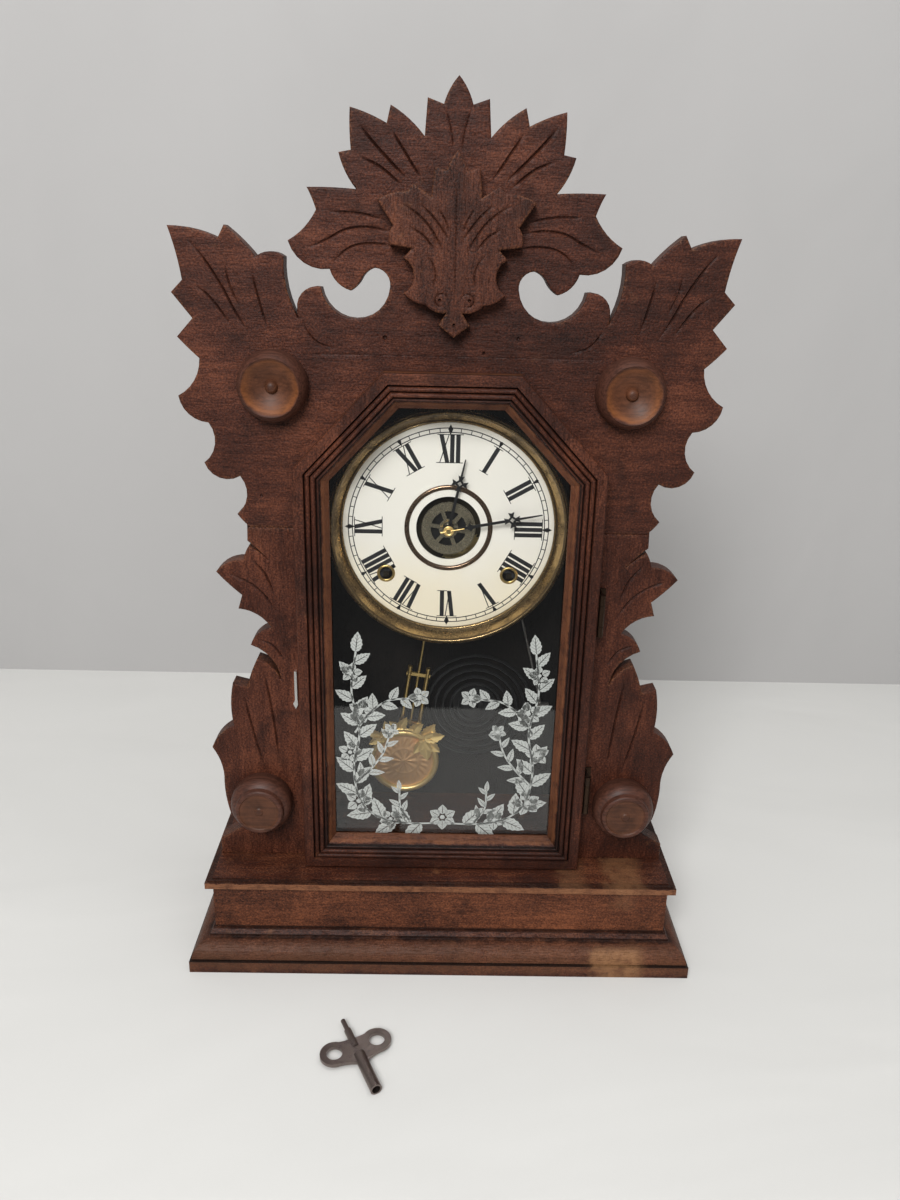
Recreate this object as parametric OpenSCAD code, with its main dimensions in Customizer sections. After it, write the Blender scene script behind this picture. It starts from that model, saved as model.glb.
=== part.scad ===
// Walnut kitchen clock with a fretted front, a glazed door, a strike movement and a coil gong.
// X is to the right, Y to the back and Z up; the origin is under the middle of the base.

/* [Base] */
// Width of the base across its foot
base_w = 344; // [330:1:360]
// Depth of the base
base_d = 140; // [136:1:160]
// Height of the square foot of the base moulding
foot_h = 8.5; // [7:0.5:10]
// Height of the base moulding
mould_h = 26; // [24:0.5:30]
// Step of the base moulding from its foot to the riser
mould_in = 16; // [14:0.5:18]
// Thickness of the riser boards
riser_t = 10; // [8:0.5:12]
// Height of the shelf top
shelf_z = 66; // [60:1:76]
// Thickness of the shelf
shelf_t = 6; // [5:0.5:8]
// Overhang of the shelf past the riser
shelf_over = 4.5; // [3:0.5:6]
// Width of the stepped edge of the shelf
shelf_quirk = 4.5; // [3:0.25:6]
// Thickness of the bottom board
bottom_t = 6; // [5:0.5:8]

/* [Front boards] */
// Distance of the front boards behind the front of the foot
front_set = 44.5; // [42:0.5:48]
// Thickness of the front boards
front_t = 12.5; // [11:0.5:14]
// Height of the lower front boards
lower_h = 240; // [234:1:248]
// Height of the tip of the crest above the door
crest_h = 155.5; // [150:0.5:165]
// Thickness of the applied crest ornament
ornament_t = 10; // [8:0.5:12]
// Diameter of the turned rosettes
rosette_d = 42; // [38:1:44]
// Projection of the turned rosettes
rosette_t = 15; // [12:0.5:18]
// Diameter of the turned knobs
knob_d = 42; // [38:1:43]
// Projection of the turned knobs
knob_t = 20; // [17:0.5:21]

/* [Case] */
// Outside width of the case behind the front
case_w = 206; // [202:1:212]
// Outside height of the case above the shelf
case_h = 348; // [342:1:356]
// Thickness of the case sides and top
case_wall = 9.5; // [8:0.5:11]
// Thickness of the back board
back_t = 7; // [5:0.5:9]
// Distance of the back board from the rear of the base
back_set = 4; // [2:0.5:6]

/* [Door] */
// Width of the door
door_w = 189.5; // [188:0.5:192]
// Height of the door
door_h = 336.5; // [333:0.5:339]
// Width of the level top of the door
arch_w = 81; // [77:1:86]
// Fall of the door shoulders
arch_drop = 57.5; // [55:0.5:61]
// Width of the door mouldings
stile_w = 21; // [20.5:0.25:22]
// Thickness of the door mouldings
door_t = 16; // [15:0.5:17]
// Clearance between the door and the shelf
door_gap = 1; // [0.6:0.1:2]
// Thickness of the door glass
glass_t = 2; // [1.6:0.1:2.5]
// Length of each hinge
hinge_l = 28; // [22:1:32]
// Diameter of the hinge knuckles
knuckle_d = 4; // [3.6:0.1:4.4]
// Diameter of the hinge pins
hinge_pin_d = 2; // [1.6:0.1:2.4]

/* [Dial] */
// Distance of the dial centre below the top of the case
dial_drop = 112.5; // [110:0.5:115]
// Distance of the dial face behind the front boards
dial_back = 9.5; // [9.25:0.25:10.5]
// Diameter of the paper dial
dial_d = 137; // [134:1:140]
// Outside diameter of the bezel
bezel_d = 158; // [155:1:160]
// Height of the bezel above the dial
bezel_h = 9; // [7:0.5:10]
// Diameter of the centre opening
eye_d = 42; // [40:1:44]
// Outside diameter of the centre ring
ring_d = 57; // [54:1:60]
// Distance of the winding holes from the centre line
wind_x = 40.5; // [40:0.1:41]
// Distance of the winding holes below the centre
wind_z = 31.5; // [31:0.1:32]
// Diameter of the winding holes
wind_d = 8.4; // [8:0.2:9]
// Diameter of the alarm disc
alarm_d = 35; // [32:0.5:37]
// Length of the hour hand
hour_len = 47; // [42:1:50]
// Length of the minute hand
minute_len = 61; // [57:1:63]
// Hour hand past twelve in degrees
hour_at = 12; // [0:1:359]
// Minute hand past twelve in degrees
minute_at = 79; // [0:1:359]

/* [Movement] */
// Width of the movement plates
plate_w = 106; // [102:1:110]
// Height of the movement plates above the centre
plate_up = 48; // [46:0.5:50]
// Height of the movement plates below the centre
plate_down = 54; // [52:0.5:56]
// Thickness of the movement plates
plate_t = 1.5; // [1.2:0.1:1.8]
// Space between the movement plates
plate_gap = 28; // [27.5:0.25:30]
// Space between the dial and the front plate
dial_gap = 6.8; // [6.6:0.1:7.5]
// Diameter of a wound mainspring
spring_d = 46; // [42:1:47]
// Thickness of the mainspring strip
strip_t = 0.6; // [0.4:0.05:0.8]

/* [Pendulum and gong] */
// Height of the pendulum pivot above the dial centre
pivot_up = 12; // [11:0.25:13]
// Height of the bob centre above the shelf when it hangs plumb
bob_up = 38; // [36:1:44]
// Swing of the pendulum at rest in degrees
swing_at = 8; // [0:0.5:10]
// Diameter of the pendulum bob
bob_d = 56; // [50:1:58]
// Thickness of the pendulum bob
bob_t = 9; // [7:0.5:10]
// Diameter of the gong wire
gong_wire = 2.5; // [2:0.1:3]
// Turns of the gong coil
gong_turns = 6; // [4:1:6]
// Spacing of the gong turns
gong_pitch = 5.8; // [5.2:0.1:6.2]

/* [Key] */
// Distance between the holes of the key bow
key_holes = 28; // [25:0.5:31]
// Length of the key barrel
key_barrel = 35; // [30:1:40]
// Distance of the key in front of the base
key_out = 68; // [60:1:90]

/* [Hidden] */
$fn = 48;
walnut = [0.29, 0.16, 0.11];
walnut_light = [0.45, 0.27, 0.15];
brass = [0.71, 0.57, 0.29];
steel = [0.45, 0.45, 0.46];
ink = [0.08, 0.08, 0.09];
iron = [0.12, 0.12, 0.13];
eps = 0.02;
fit = 0.05;
running = 0.3;

base_front = -base_d / 2;
base_back = base_d / 2;
riser_half = base_w / 2 - mould_in;
riser_front = base_front + mould_in;
shelf_half = riser_half + shelf_over;
shelf_front = riser_front - shelf_over;
shelf_low = shelf_z - shelf_t;
front_y = base_front + front_set;
front_back = front_y + front_t;
seam_z = shelf_z + lower_h;
case_half = case_w / 2;
case_in = case_half - case_wall;
case_top_z = shelf_z + case_h;
back_y = base_back - back_set;
back_in = back_y - back_t;

door_half = door_w / 2;
arch_half = arch_w / 2;
door_low = shelf_z + door_gap;
door_top = door_low + door_h;
tip_z = door_top + crest_h;
crest_up = door_top - seam_z;
crest_top = tip_z - seam_z;
turn_side = atan2(door_half - arch_half, arch_drop);
turn_top = 90 - turn_side;
sight = 6;
rabbet_d = 5;
bead_t = rabbet_d - glass_t;
open_in = 14.5;
hinge_x = door_half + knuckle_d / 2 + 0.5;
hinge_y = front_y - door_t + 2.5;
leaf_t = 1;
hinge_zs = [shelf_z + 60, shelf_z + 190];

dial_z = case_top_z - dial_drop;
dial_y = front_back + dial_back;
paper_t = 0.4;
pan_t = 0.8;
pan_back = dial_y + paper_t + pan_t;
plate_y = pan_back + dial_gap;
train_y = plate_y + plate_t;
rear_y = train_y + plate_gap;
rear_back = rear_y + plate_t;

centre_r = 1.45;
cannon_r = 2.1;
pipe_r = 3;
pivot_r = 1.2;
wind_r = 2.4;

// Counts of teeth and pins, and the module of each mesh
great_n = 48;
great_m = 1.1;
great_pins = 8;
second_n = 60;
second_m = 0.9;
second_pins = 8;
centre_n = 72;
centre_m = 0.75;
third_pins = 7;
third_n = 76;
third_m = 0.6;
escape_pins = 7;
escape_n = 36;
escape_r = 13;
strike_n = 56;
strike_m = 0.8;
fly_pins = 7;
cannon_n = 12;
minute_n = 36;
motion_m = 0.75;
minute_pinion_n = 10;
hour_n = 40;
hour_m = 0.72;

function mesh(n, p, m) = (n + p) * m / 2;

// Places of the arbors across the plates, with the second number measured downwards
function meet(a, ra, b, rb, side) =
    let (d = norm(b - a), u = (b - a) / d, k = (ra * ra - rb * rb + d * d) / (2 * d),
         h = sqrt(ra * ra - k * k))
    a + u * k + [u[1], -u[0]] * h * side;
centre_p = [0, 0];
great_p = [wind_x, wind_z];
strike_p = [-wind_x, wind_z];
second_p = meet(great_p, mesh(great_n, great_pins, great_m), centre_p,
                mesh(second_n, second_pins, second_m), -1);
escape_p = [0, -pivot_up - 21.5];
third_p = meet(centre_p, mesh(centre_n, third_pins, centre_m), escape_p,
               mesh(third_n, escape_pins, third_m), 1);
strike_turn = 72;
strike2_p = strike_p - mesh(great_n, great_pins, great_m) * [cos(strike_turn), sin(strike_turn)];
fly_turn = 84;
fly_p = strike2_p + mesh(strike_n, fly_pins, strike_m) * [cos(fly_turn), -sin(fly_turn)];
minute_p = mesh(cannon_n, minute_n, motion_m) * [cos(60), sin(60)];
hammer_p = [plate_w / 2 - 6, plate_down - 8];
pivot_p = [0, -pivot_up];

// Levels of the wheels behind the inner face of the front plate
great_l = 4;
great_thick = 2;
spring_l = 9;
spring_h = 13;
second_l = 22.6;
centre_l = 25;
third_l = 2;
strike_l = 23.4;
wheel_thick = 1.2;
pin_side = 0.9;
shroud_t = 0.8;

pend_y = rear_back + 5;
pivot_z = dial_z + pivot_up;
pend_len = pivot_z - shelf_z - bob_up;
rod_gap = 6.7;
gong_x = 23;
gong_z = shelf_z + 81;
gong_r0 = 9;
gong_y = back_in - 9;
gong_r = gong_r0 + gong_pitch * gong_turns;
strike_gap = 1.2;

// A point turned about the origin
function turned(p, a) = [p[0] * cos(a) - p[1] * sin(a), p[0] * sin(a) + p[1] * cos(a)];

// Points of a round stretch from p to q, with bulge the tangent of a quarter of its angle
function bend(p, q, bulge, steps = 6) =
    bulge == 0 ? [q] :
    let (d = q - p, th = 4 * atan(bulge), c = (p + q) / 2 + [-d[1], d[0]] / (2 * tan(th / 2)))
    [for (i = [1:steps]) c + turned(p - c, th * i / steps)];

// An outline from corners given as x, z and the bulge of the stretch that leads to them
function outline(c) =
    [[c[0][0], c[0][1]], for (i = [1:len(c) - 1])
        each bend([c[i - 1][0], c[i - 1][1]], [c[i][0], c[i][1]], c[i][2])];

// The points of a half outline with their mirror images, going round once
function mirrored(p) = [each p, for (i = [len(p) - 1:-1:0]) if (p[i][0] > eps) [-p[i][0], p[i][1]]];

// Corners of the door arch moved inwards by s, from lower right round to lower left
function arch(s, low) =
    let (x = door_half - s, z = door_top - arch_drop - s * tan(turn_side / 2),
         t = arch_half - s * tan(turn_top / 2), h = door_top - s)
    [[x, low], [x, z], [t, h], [-t, h], [-x, z], [-x, low]];

// A flat shape in X and Z, thick to the back from y
module board(y, t) {
    translate([0, y + t, 0]) rotate([90, 0, 0]) linear_extrude(t) children();
}

// A turned shape about a line along Y, profile as radius and distance to the front
module turned_front(x, y, z) {
    translate([x, y, z]) rotate([90, 0, 0]) rotate_extrude() children();
}

// A rod along Y from y0 to y1 at a place across the plates
module rod(p, y0, y1, r) {
    translate([p[0], y0, dial_z - p[1]]) rotate([-90, 0, 0]) cylinder(h = y1 - y0, r = r);
}

// A flat shape across the plates, thick to the back from y
module across(p, y, t) {
    translate([p[0], y, dial_z - p[1]]) rotate([-90, 0, 0]) linear_extrude(t) children();
}

base_profile = concat([[0, 0], [mould_in, 0], [mould_in, foot_h], [mould_in - 1.8, foot_h + 0.2],
    [mould_in - 1.4, foot_h + 1]], bend([mould_in - 1.4, foot_h + 1], [4.4, mould_h - 5.4], 0.38, 8),
    [[3.4, mould_h - 5], [3.4, mould_h - 3.6], [1.4, mould_h - 1], [1.4, mould_h], [0, mould_h]]);

// A length of base moulding along X at the front
module base_run() {
    translate([-base_w / 2, riser_front, 0]) rotate([90, 0, 90]) linear_extrude(base_w)
        polygon([for (p = base_profile) [-p[0], p[1]]]);
}

module base_front_moulding() {
    color(walnut) intersection() {
        base_run();
        linear_extrude(mould_h) polygon([[-base_w / 2, base_front], [base_w / 2, base_front],
            [riser_half, riser_front], [-riser_half, riser_front]]);
    }
}

module base_side_moulding(side) {
    color(walnut) intersection() {
        translate([side * riser_half, base_back, 0]) rotate([90, 0, 0]) linear_extrude(base_d)
            polygon([for (p = base_profile) [side * p[0], p[1]]]);
        linear_extrude(mould_h) polygon([[side * base_w / 2, base_front], [side * riser_half, riser_front],
            [side * riser_half, base_back], [side * base_w / 2, base_back]]);
    }
}
module base_left_moulding() { base_side_moulding(-1); }
module base_right_moulding() { base_side_moulding(1); }

module front_riser() {
    color(walnut) translate([-riser_half, riser_front, 0]) cube([2 * riser_half, riser_t, shelf_low]);
}

module side_riser(side) {
    color(walnut) translate([side > 0 ? riser_half - riser_t : -riser_half, riser_front + riser_t, 0])
        cube([riser_t, base_back - riser_front - riser_t, shelf_low]);
}
module left_riser() { side_riser(-1); }
module right_riser() { side_riser(1); }

module bottom_board() {
    color(walnut) translate([-riser_half + riser_t, riser_front + riser_t, 0])
        cube([2 * (riser_half - riser_t), base_back - riser_front - riser_t, bottom_t]);
}

module shelf() {
    steps = [[0, 0.78], [shelf_quirk * 0.35, 0.9], [shelf_quirk, 1]];
    color(walnut_light) for (s = steps)
        translate([-shelf_half + s[0], shelf_front + s[0], shelf_low])
            cube([2 * (shelf_half - s[0]), base_back - shelf_front - s[0], shelf_t * s[1]]);
}

// Lower front board, right side: offsets from the case side and heights from the shelf or the seam
lower_points = outline([
    [case_half + 52.7, 0, 0], [case_half + 52.5, 12, 0], [case_half + 37, 22, 0],
    [case_half + 44.5, 32.5, 0.05], [case_half + 47.5, 62, 0.08], [case_half + 54.3, 84.3, -0.14],
    [case_half + 38.8, 101, 0.2], [case_half + 37.8, lower_h - 107.5, 0.1],
    [case_half + 28.2, lower_h - 110, 0], [case_half + 21, lower_h - 90, 0.06],
    [case_half + 5.8, lower_h - 104, 0.25], [case_half + 24.6, lower_h - 80, -0.3],
    [case_half + 10.8, lower_h - 67.5, 0.28], [case_half + 31.3, lower_h - 54.8, -0.25],
    [case_half + 28.5, lower_h - 45.5, 0], [case_half + 44.1, lower_h - 30, 0.04],
    [case_half + 26.3, lower_h - 21.7, 0.25], [case_half + 22.8, lower_h - 12.7, 0.1],
    [case_half + 10.6, lower_h - 21.5, 0.1], [case_half + 23.3, lower_h - 9.2, -0.05],
    [case_half + 23, lower_h, 0]]);

// Crest board, right side: heights from the seam, the top of the door and the tip
crest_points = outline([
    [case_half + 23, 0, 0], [case_half + 23, 1.5, 0], [case_half + 28.6, 8, 0.05],
    [case_half + 25.7, crest_up * 0.32821, -0.42], [case_half + 47, crest_up * 0.41026, 0.5],
    [case_half + 43, crest_up * 0.65949, -0.42], [case_half + 59.9, crest_up - 17.5, 0.37],
    [case_half + 46, crest_up + 4.5, -0.28], [case_half + 58.1, crest_up + 16.5, 0.03],
    [case_half + 48.5, crest_up + 27, 0], [case_half + 59.8, crest_up + 41.2, 0],
    [case_half + 53, crest_up + 48, 0], [case_half + 59.4, crest_up + 77, -0.05],
    [case_half + 31.4, crest_up + 70.8, 0.12], [case_half + 27.5, crest_up + 78, 0],
    [case_half + 10.3, crest_up + 61.5, 0.06], [case_half - 5.6, crest_up + 61.9, 0.35],
    [90.4, crest_up + 28.7, -0.15], [90.6, crest_up + 36.5, 0.04], [76.7, crest_up + 45.8, 0.43],
    [57, crest_up + 28.7, -0.37], [37, crest_up + 46.5, -0.39], [45.5, crest_up + 56.9, -0.44],
    [52.5, crest_up + 52, -0.2], [59.5, crest_up + 44.2, 0.15], [71.5, crest_up + 55.7, 0.27],
    [94.9, crest_top - 85, 0.38], [78.5, crest_top - 68.5, -0.15], [83.4, crest_top - 57, -0.05],
    [56, crest_top - 57.5, 0.03], [65.5, crest_top - 39, 0.12], [58.7, crest_top - 37.7, 0],
    [59, crest_top - 16.5, 0.04], [39, crest_top - 24, 0.06], [36.8, crest_top - 15, 0],
    [18.2, crest_top - 30, 0.1], [16.8, crest_top - 11, 0], [8, crest_top - 14, 0], [0, crest_top, 0.12]]);

module front_board(side) {
    inner = door_half - open_in;
    color(walnut) translate([0, 0, shelf_z]) mirror([side < 0 ? 1 : 0, 0, 0]) board(front_y, front_t)
        polygon([[inner, 0], each lower_points, [inner, lower_h]]);
}
module left_front_board() { front_board(-1); }
module right_front_board() { front_board(1); }

module crest_board() {
    color(walnut) board(front_y, front_t) difference() {
        translate([0, seam_z]) polygon(mirrored(crest_points));
        polygon(arch(open_in, seam_z - 1));
    }
}

// Crest ornament, right side: heights below the tip of the crest
ornament_points = outline([
    [0, crest_top - 135.5, 0], [9, crest_top - 128.7, 0], [4.6, crest_top - 122, 0],
    [16.5, crest_top - 117.8, 0.25], [28.8, crest_top - 111.7, 0.2], [29.3, crest_top - 92.7, -0.62],
    [24.5, crest_top - 87.8, 0], [37, crest_top - 86, 0], [35, crest_top - 76, 0.25],
    [44, crest_top - 62.8, 0], [27, crest_top - 58.2, 0.12], [24, crest_top - 54.5, 0],
    [14, crest_top - 61, 0.05], [12.5, crest_top - 45.5, 0], [6, crest_top - 47.5, 0],
    [0, crest_top - 37.5, 0.1]]);

module crest_ornament() {
    color(walnut_light) translate([0, 0, seam_z]) board(front_y - ornament_t, ornament_t)
        polygon(mirrored(ornament_points));
}

rosette_x = case_half + 2.8;
rosette_z = door_top - 10;
knob_x = case_half + 21;
knob_z = shelf_z + 46;

// Turned rosette with a dished face and a centre button
module rosette(side) {
    r = rosette_d / 2;
    color(walnut_light) turned_front(side * rosette_x, front_y, rosette_z)
        polygon([[0, 0], [r - 1, 0], [r, 2], [r, 5], each bend([r, 5], [r - 4, rosette_t], 0.15),
            each bend([r - 4, rosette_t], [4, rosette_t - 6.5], -0.12), [3.4, rosette_t - 4.5],
            each bend([3.4, rosette_t - 4.5], [0, rosette_t - 2.5], 0.35)]);
}
module left_rosette() { rosette(-1); }
module right_rosette() { rosette(1); }

// Turned knob with a swelling drum and a flat face
module knob(side) {
    r = knob_d / 2;
    color(walnut) turned_front(side * knob_x, front_y, knob_z)
        polygon([[0, 0], [r - 1.5, 0], each bend([r - 1.5, 0], [r - 0.5, knob_t - 9], 0.12),
            each bend([r - 0.5, knob_t - 9], [r - 4.4, knob_t - 4], 0.2), [r - 5, knob_t - 0.8],
            [r - 5.8, knob_t], [r - 7.5, knob_t], [r - 8.2, knob_t - 0.7], [3, knob_t - 0.9],
            [2.2, knob_t - 0.3], [0, knob_t - 0.2]]);
}
module left_knob() { knob(-1); }
module right_knob() { knob(1); }

module case_side(side) {
    color(walnut) translate([side > 0 ? case_in : -case_half, front_back, shelf_z])
        cube([case_wall, back_in - front_back, case_h]);
}
module left_case_side() { case_side(-1); }
module right_case_side() { case_side(1); }

module case_top() {
    color(walnut) translate([-case_in, front_back, case_top_z - case_wall])
        cube([2 * case_in, back_in - front_back, case_wall]);
}

module back_board() {
    color(walnut) translate([-case_half, back_in, shelf_z]) cube([case_w, back_t, case_h]);
}

// A half round from one point to another of a moulding profile
function reed(p, q) = [p, each bend(p, q, -0.85, 6)];

// Door moulding: distance in from its outer edge, and distance to the front
reed_d = door_t - 1.1;
quirk_d = door_t - 2.4;
door_profile = [[0, 0], [0, door_t - 0.8], [0.8, door_t], [6.4, door_t], [7, quirk_d],
    each reed([7.6, reed_d], [10.2, reed_d]), [10.6, quirk_d], each reed([11, reed_d], [13.6, reed_d]), [14, quirk_d],
    each reed([14.4, reed_d - 1], [16, reed_d - 1]), [16.3, quirk_d - 1.4], [stile_w, rabbet_d + 1.5],
    [stile_w, rabbet_d], [stile_w - sight, rabbet_d], [stile_w - sight, 0]];

// A profile run along the edge from a to b, cut to mitres that meet the inner corners
module mitred(profile, a, b, bi, ai, deep) {
    d = b - a;
    translate([0, front_y, 0]) rotate([90, 0, 0]) intersection() {
        translate([a[0], a[1], 0]) rotate([0, 0, atan2(d[1], d[0])]) rotate([90, 0, 90])
            linear_extrude(norm(d)) polygon(profile);
        linear_extrude(deep) polygon([a, b, bi, ai]);
    }
}

door_outer = arch(0, door_low);
door_inner = arch(stile_w, door_low + stile_w);
module door_member(i) {
    j = (i + 1) % len(door_outer);
    color(i == 5 ? walnut_light : walnut)
        mitred(door_profile, door_outer[i], door_outer[j], door_inner[j], door_inner[i], door_t + 1);
}

module door_right_stile() { door_member(0); }
module door_right_shoulder() { door_member(1); }
module door_top_rail() { door_member(2); }
module door_left_shoulder() { door_member(3); }
module door_left_stile() { door_member(4); }
module door_bottom_rail() { door_member(5); }

glass_in = stile_w - sight + 0.5;
module door_glass() {
    color([0.8, 0.85, 0.85, 0.3]) board(front_y - bead_t - glass_t, glass_t)
        polygon(arch(glass_in, door_low + glass_in));
}

// Square beads that hold the glass in its rabbet
bead_w = 3;
module glass_beads() {
    out = stile_w - sight + fit;
    a = arch(out, door_low + out);
    b = arch(out + bead_w, door_low + out + bead_w);
    color(walnut) for (i = [0:len(a) - 1]) let (j = (i + 1) % len(a))
        mitred([[0, 0], [bead_w, 0], [bead_w, bead_t - 1], [bead_w - 1, bead_t], [0, bead_t]],
            a[i], a[j], b[j], b[i], bead_t);
}

leaf_l = 8;
flange_l = 4.5;
leaf_h = hinge_l / 2;
knuckle_h = hinge_l / 4;
hinge_play = 0.2;
module hinge_case_leaves() {
    color(brass) for (z = hinge_zs) {
        translate([hinge_x - leaf_t / 2, front_y - leaf_t, z - hinge_l / 2]) cube([flange_l, leaf_t, hinge_l]);
        for (e = [-hinge_l / 2, leaf_h / 2 + hinge_play]) {
            translate([hinge_x, hinge_y, z + e]) cylinder(h = knuckle_h - hinge_play, d = knuckle_d);
            translate([hinge_x - leaf_t / 2, hinge_y, z + e])
                cube([leaf_t, front_y - leaf_t / 2 - hinge_y, knuckle_h - hinge_play]);
        }
        translate([hinge_x, hinge_y, z - hinge_l / 2]) cylinder(h = hinge_l, d = hinge_pin_d);
    }
}

module hinge_door_leaves() {
    color(brass) for (z = hinge_zs) difference() {
        translate([0, 0, z - leaf_h / 2]) {
            translate([hinge_x, hinge_y, 0]) cylinder(h = leaf_h, d = knuckle_d);
            translate([door_half, hinge_y, 0]) cube([leaf_t, leaf_l, leaf_h]);
        }
        translate([hinge_x, hinge_y, z - hinge_l]) cylinder(h = 2 * hinge_l, d = hinge_pin_d + 2 * fit);
    }
}

// Sliding door catch beside the left stile
latch_x = -door_half - 3.2;
latch_z = shelf_z + 122;
latch_h = 21;
latch_w = 1.6;
module door_latch() {
    color(steel) {
        translate([latch_x - latch_w, front_y - 3, latch_z]) cube([latch_w, 3, latch_h]);
        board(front_y - 2, 2) polygon([[latch_x, latch_z + eps], [latch_x - latch_w, latch_z + eps],
            [latch_x - 3, latch_z - 3], [latch_x - 1.4, latch_z - 6.5], [latch_x, latch_z - 4]]);
    }
}

// Dial
dial_r = dial_d / 2;
bezel_r = bezel_d / 2;
eye_r = eye_d / 2;
lip = 0.8;
grommet_r = wind_d / 2 + lip;
module wind_holes(r) { for (x = [-wind_x, wind_x]) translate([x, dial_z - wind_z]) circle(r); }

module dial_disc(y, t, r) {
    color([0.93, 0.91, 0.84]) board(y, t) difference() {
        translate([0, dial_z]) circle(r);
        translate([0, dial_z]) circle(eye_r);
        wind_holes(grommet_r + fit);
    }
}
module dial_face() { dial_disc(dial_y, paper_t, dial_r); }
module dial_pan() { dial_disc(dial_y + paper_t, pan_t, bezel_r - lip - fit); }

module dial_bezel() {
    crown = bezel_r - 3.5;
    foot = -paper_t - pan_t;
    color(brass) turned_front(0, dial_y, dial_z)
        polygon([[dial_r + 0.2, -paper_t], [dial_r + 0.2, 1], each bend([dial_r + 0.2, 1], [crown, bezel_h], -0.12),
            each bend([crown, bezel_h], [bezel_r, 3], 0.35), [bezel_r, foot], [bezel_r - lip, foot],
            [bezel_r - lip, -paper_t]]);
}

module centre_ring() {
    r = ring_d / 2;
    color(brass) turned_front(0, dial_y, dial_z)
        polygon([[r - 2.7, 0], each bend([r, 0], [r - 2.7, 0], 0.7)]);
}

module winding_grommets() {
    color(brass) for (x = [-wind_x, wind_x]) turned_front(x, dial_y, dial_z - wind_z)
        polygon([[wind_d / 2, -paper_t - pan_t], [grommet_r, -paper_t - pan_t], [grommet_r, 0],
            [grommet_r + 1, 0], each bend([grommet_r + 1, 0], [wind_d / 2, 0.4], 0.5)]);
}

// Alarm disc with six spokes, turned stiffly on the hour pipe
module alarm_disc() {
    r = alarm_d / 2;
    color(brass) across(centre_p, dial_y - 0.6, wheel_thick) difference() {
        circle(r);
        difference() {
            circle(r * 0.66);
            circle(r * 0.36);
            for (i = [0:2]) rotate(60 * i + 10) square([alarm_d, 2.6], center = true);
        }
        circle(pipe_r + fit);
    }
}

// Slender hand with a pierced cross, its tip pointing up before it is turned
module hand_shape(len, cross, hub) {
    w = 1;
    difference() {
        union() {
            circle(hub);
            polygon([[-w, 0], [w, 0], [w * 0.8, -cross], [0.35, -len], [-0.35, -len], [-w * 0.8, -cross]]);
            translate([0, -cross]) rotate(45) square(4.6, center = true);
            for (a = [0:90:270]) translate([0, -cross]) rotate(a) polygon([[-0.9, 2], [0.9, 2], [2, 5.2], [0, 4.4], [-2, 5.2]]);
        }
        translate([0, -cross]) rotate(45) square(2.2, center = true);
    }
}

hand_t = 0.8;
hour_y = dial_y - 4.4;
minute_y = dial_y - 6.8;
motion_t = 1.2;
pipe_lip = 0.1;
cannon_y = plate_y - 1.7;
hour_wheel_y = cannon_y - 2.4;

// Teeth of a wheel as points, the first tooth on the line of x
function teeth(n, m) =
    let (r = n * m / 2, tip = r + 0.8 * m, root = r - 1.25 * m, a = 180 / PI * 0.26 * m / tip,
         b = 180 / PI * 0.6 * m / root)
    [for (i = [0:n - 1]) let (c = 360 * i / n) each [root * [cos(c - b), sin(c - b)],
        tip * [cos(c - a), sin(c - a)], tip * [cos(c + a), sin(c + a)], root * [cos(c + b), sin(c + b)]]];

// A wheel with a tooth turned towards at, crossed out round its hub if it has one
module wheel(n, m, at, hub = 0) {
    r = n * m / 2;
    web = r - 3.2 * m;
    difference() {
        rotate(at) polygon(teeth(n, m));
        if (hub > 0) difference() {
            circle(web);
            circle(hub);
            for (i = [0:1]) rotate(at + 90 * i) square([2 * r, r * 0.16], center = true);
        }
    }
}

// A lantern pinion with a gap between its pins turned towards at
module lantern(p, y, t, pins, m, at) {
    long = t + 2 * pin_side;
    r = pins * m / 2;
    for (e = [-pin_side - shroud_t, t + pin_side]) across(p, y + e, shroud_t) circle(r + 0.9 * m);
    for (i = [0:pins - 1]) rod(p + r * [cos(at + (i + 0.5) * 360 / pins), sin(at + (i + 0.5) * 360 / pins)],
        y - pin_side - eps, y - pin_side - eps + long + 2 * eps, 0.38 * m);
}

function towards(a, b) = atan2(b[1] - a[1], b[0] - a[0]);

module hour_hand() {
    color(ink) difference() {
        union() {
            across(centre_p, hour_y, hand_t) rotate(hour_at) hand_shape(hour_len, hour_len * 0.66, pipe_r + 0.6);
            across(centre_p, hour_wheel_y, motion_t) wheel(hour_n, hour_m, towards(centre_p, minute_p));
            rod(centre_p, hour_y - pipe_lip, hour_wheel_y + motion_t + pipe_lip, pipe_r);
        }
        rod(centre_p, hour_y - 1, hour_wheel_y + motion_t + 1, cannon_r + fit);
    }
}

module minute_hand() {
    color(ink) difference() {
        union() {
            across(centre_p, minute_y, hand_t) rotate(minute_at) hand_shape(minute_len, minute_len * 0.68, cannon_r + 0.6);
            across(centre_p, cannon_y, motion_t) wheel(cannon_n, motion_m, towards(centre_p, minute_p));
            rod(centre_p, minute_y - pipe_lip, cannon_y + motion_t + pipe_lip, cannon_r);
        }
        rod(centre_p, minute_y - 1, cannon_y + motion_t + 1, centre_r + fit);
    }
}

module minute_wheel() {
    at = towards(minute_p, centre_p);
    color(brass) difference() {
        union() {
            across(minute_p, cannon_y, motion_t) wheel(minute_n, motion_m, at + 180 / minute_n);
            across(minute_p, hour_wheel_y, motion_t) wheel(minute_pinion_n, hour_m, at + 180 / minute_pinion_n);
            rod(minute_p, hour_wheel_y - pipe_lip, cannon_y + motion_t + pipe_lip, pivot_r + 0.7);
        }
        rod(minute_p, hour_wheel_y - 1, cannon_y + motion_t + 1, pivot_r + fit);
    }
}

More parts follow.
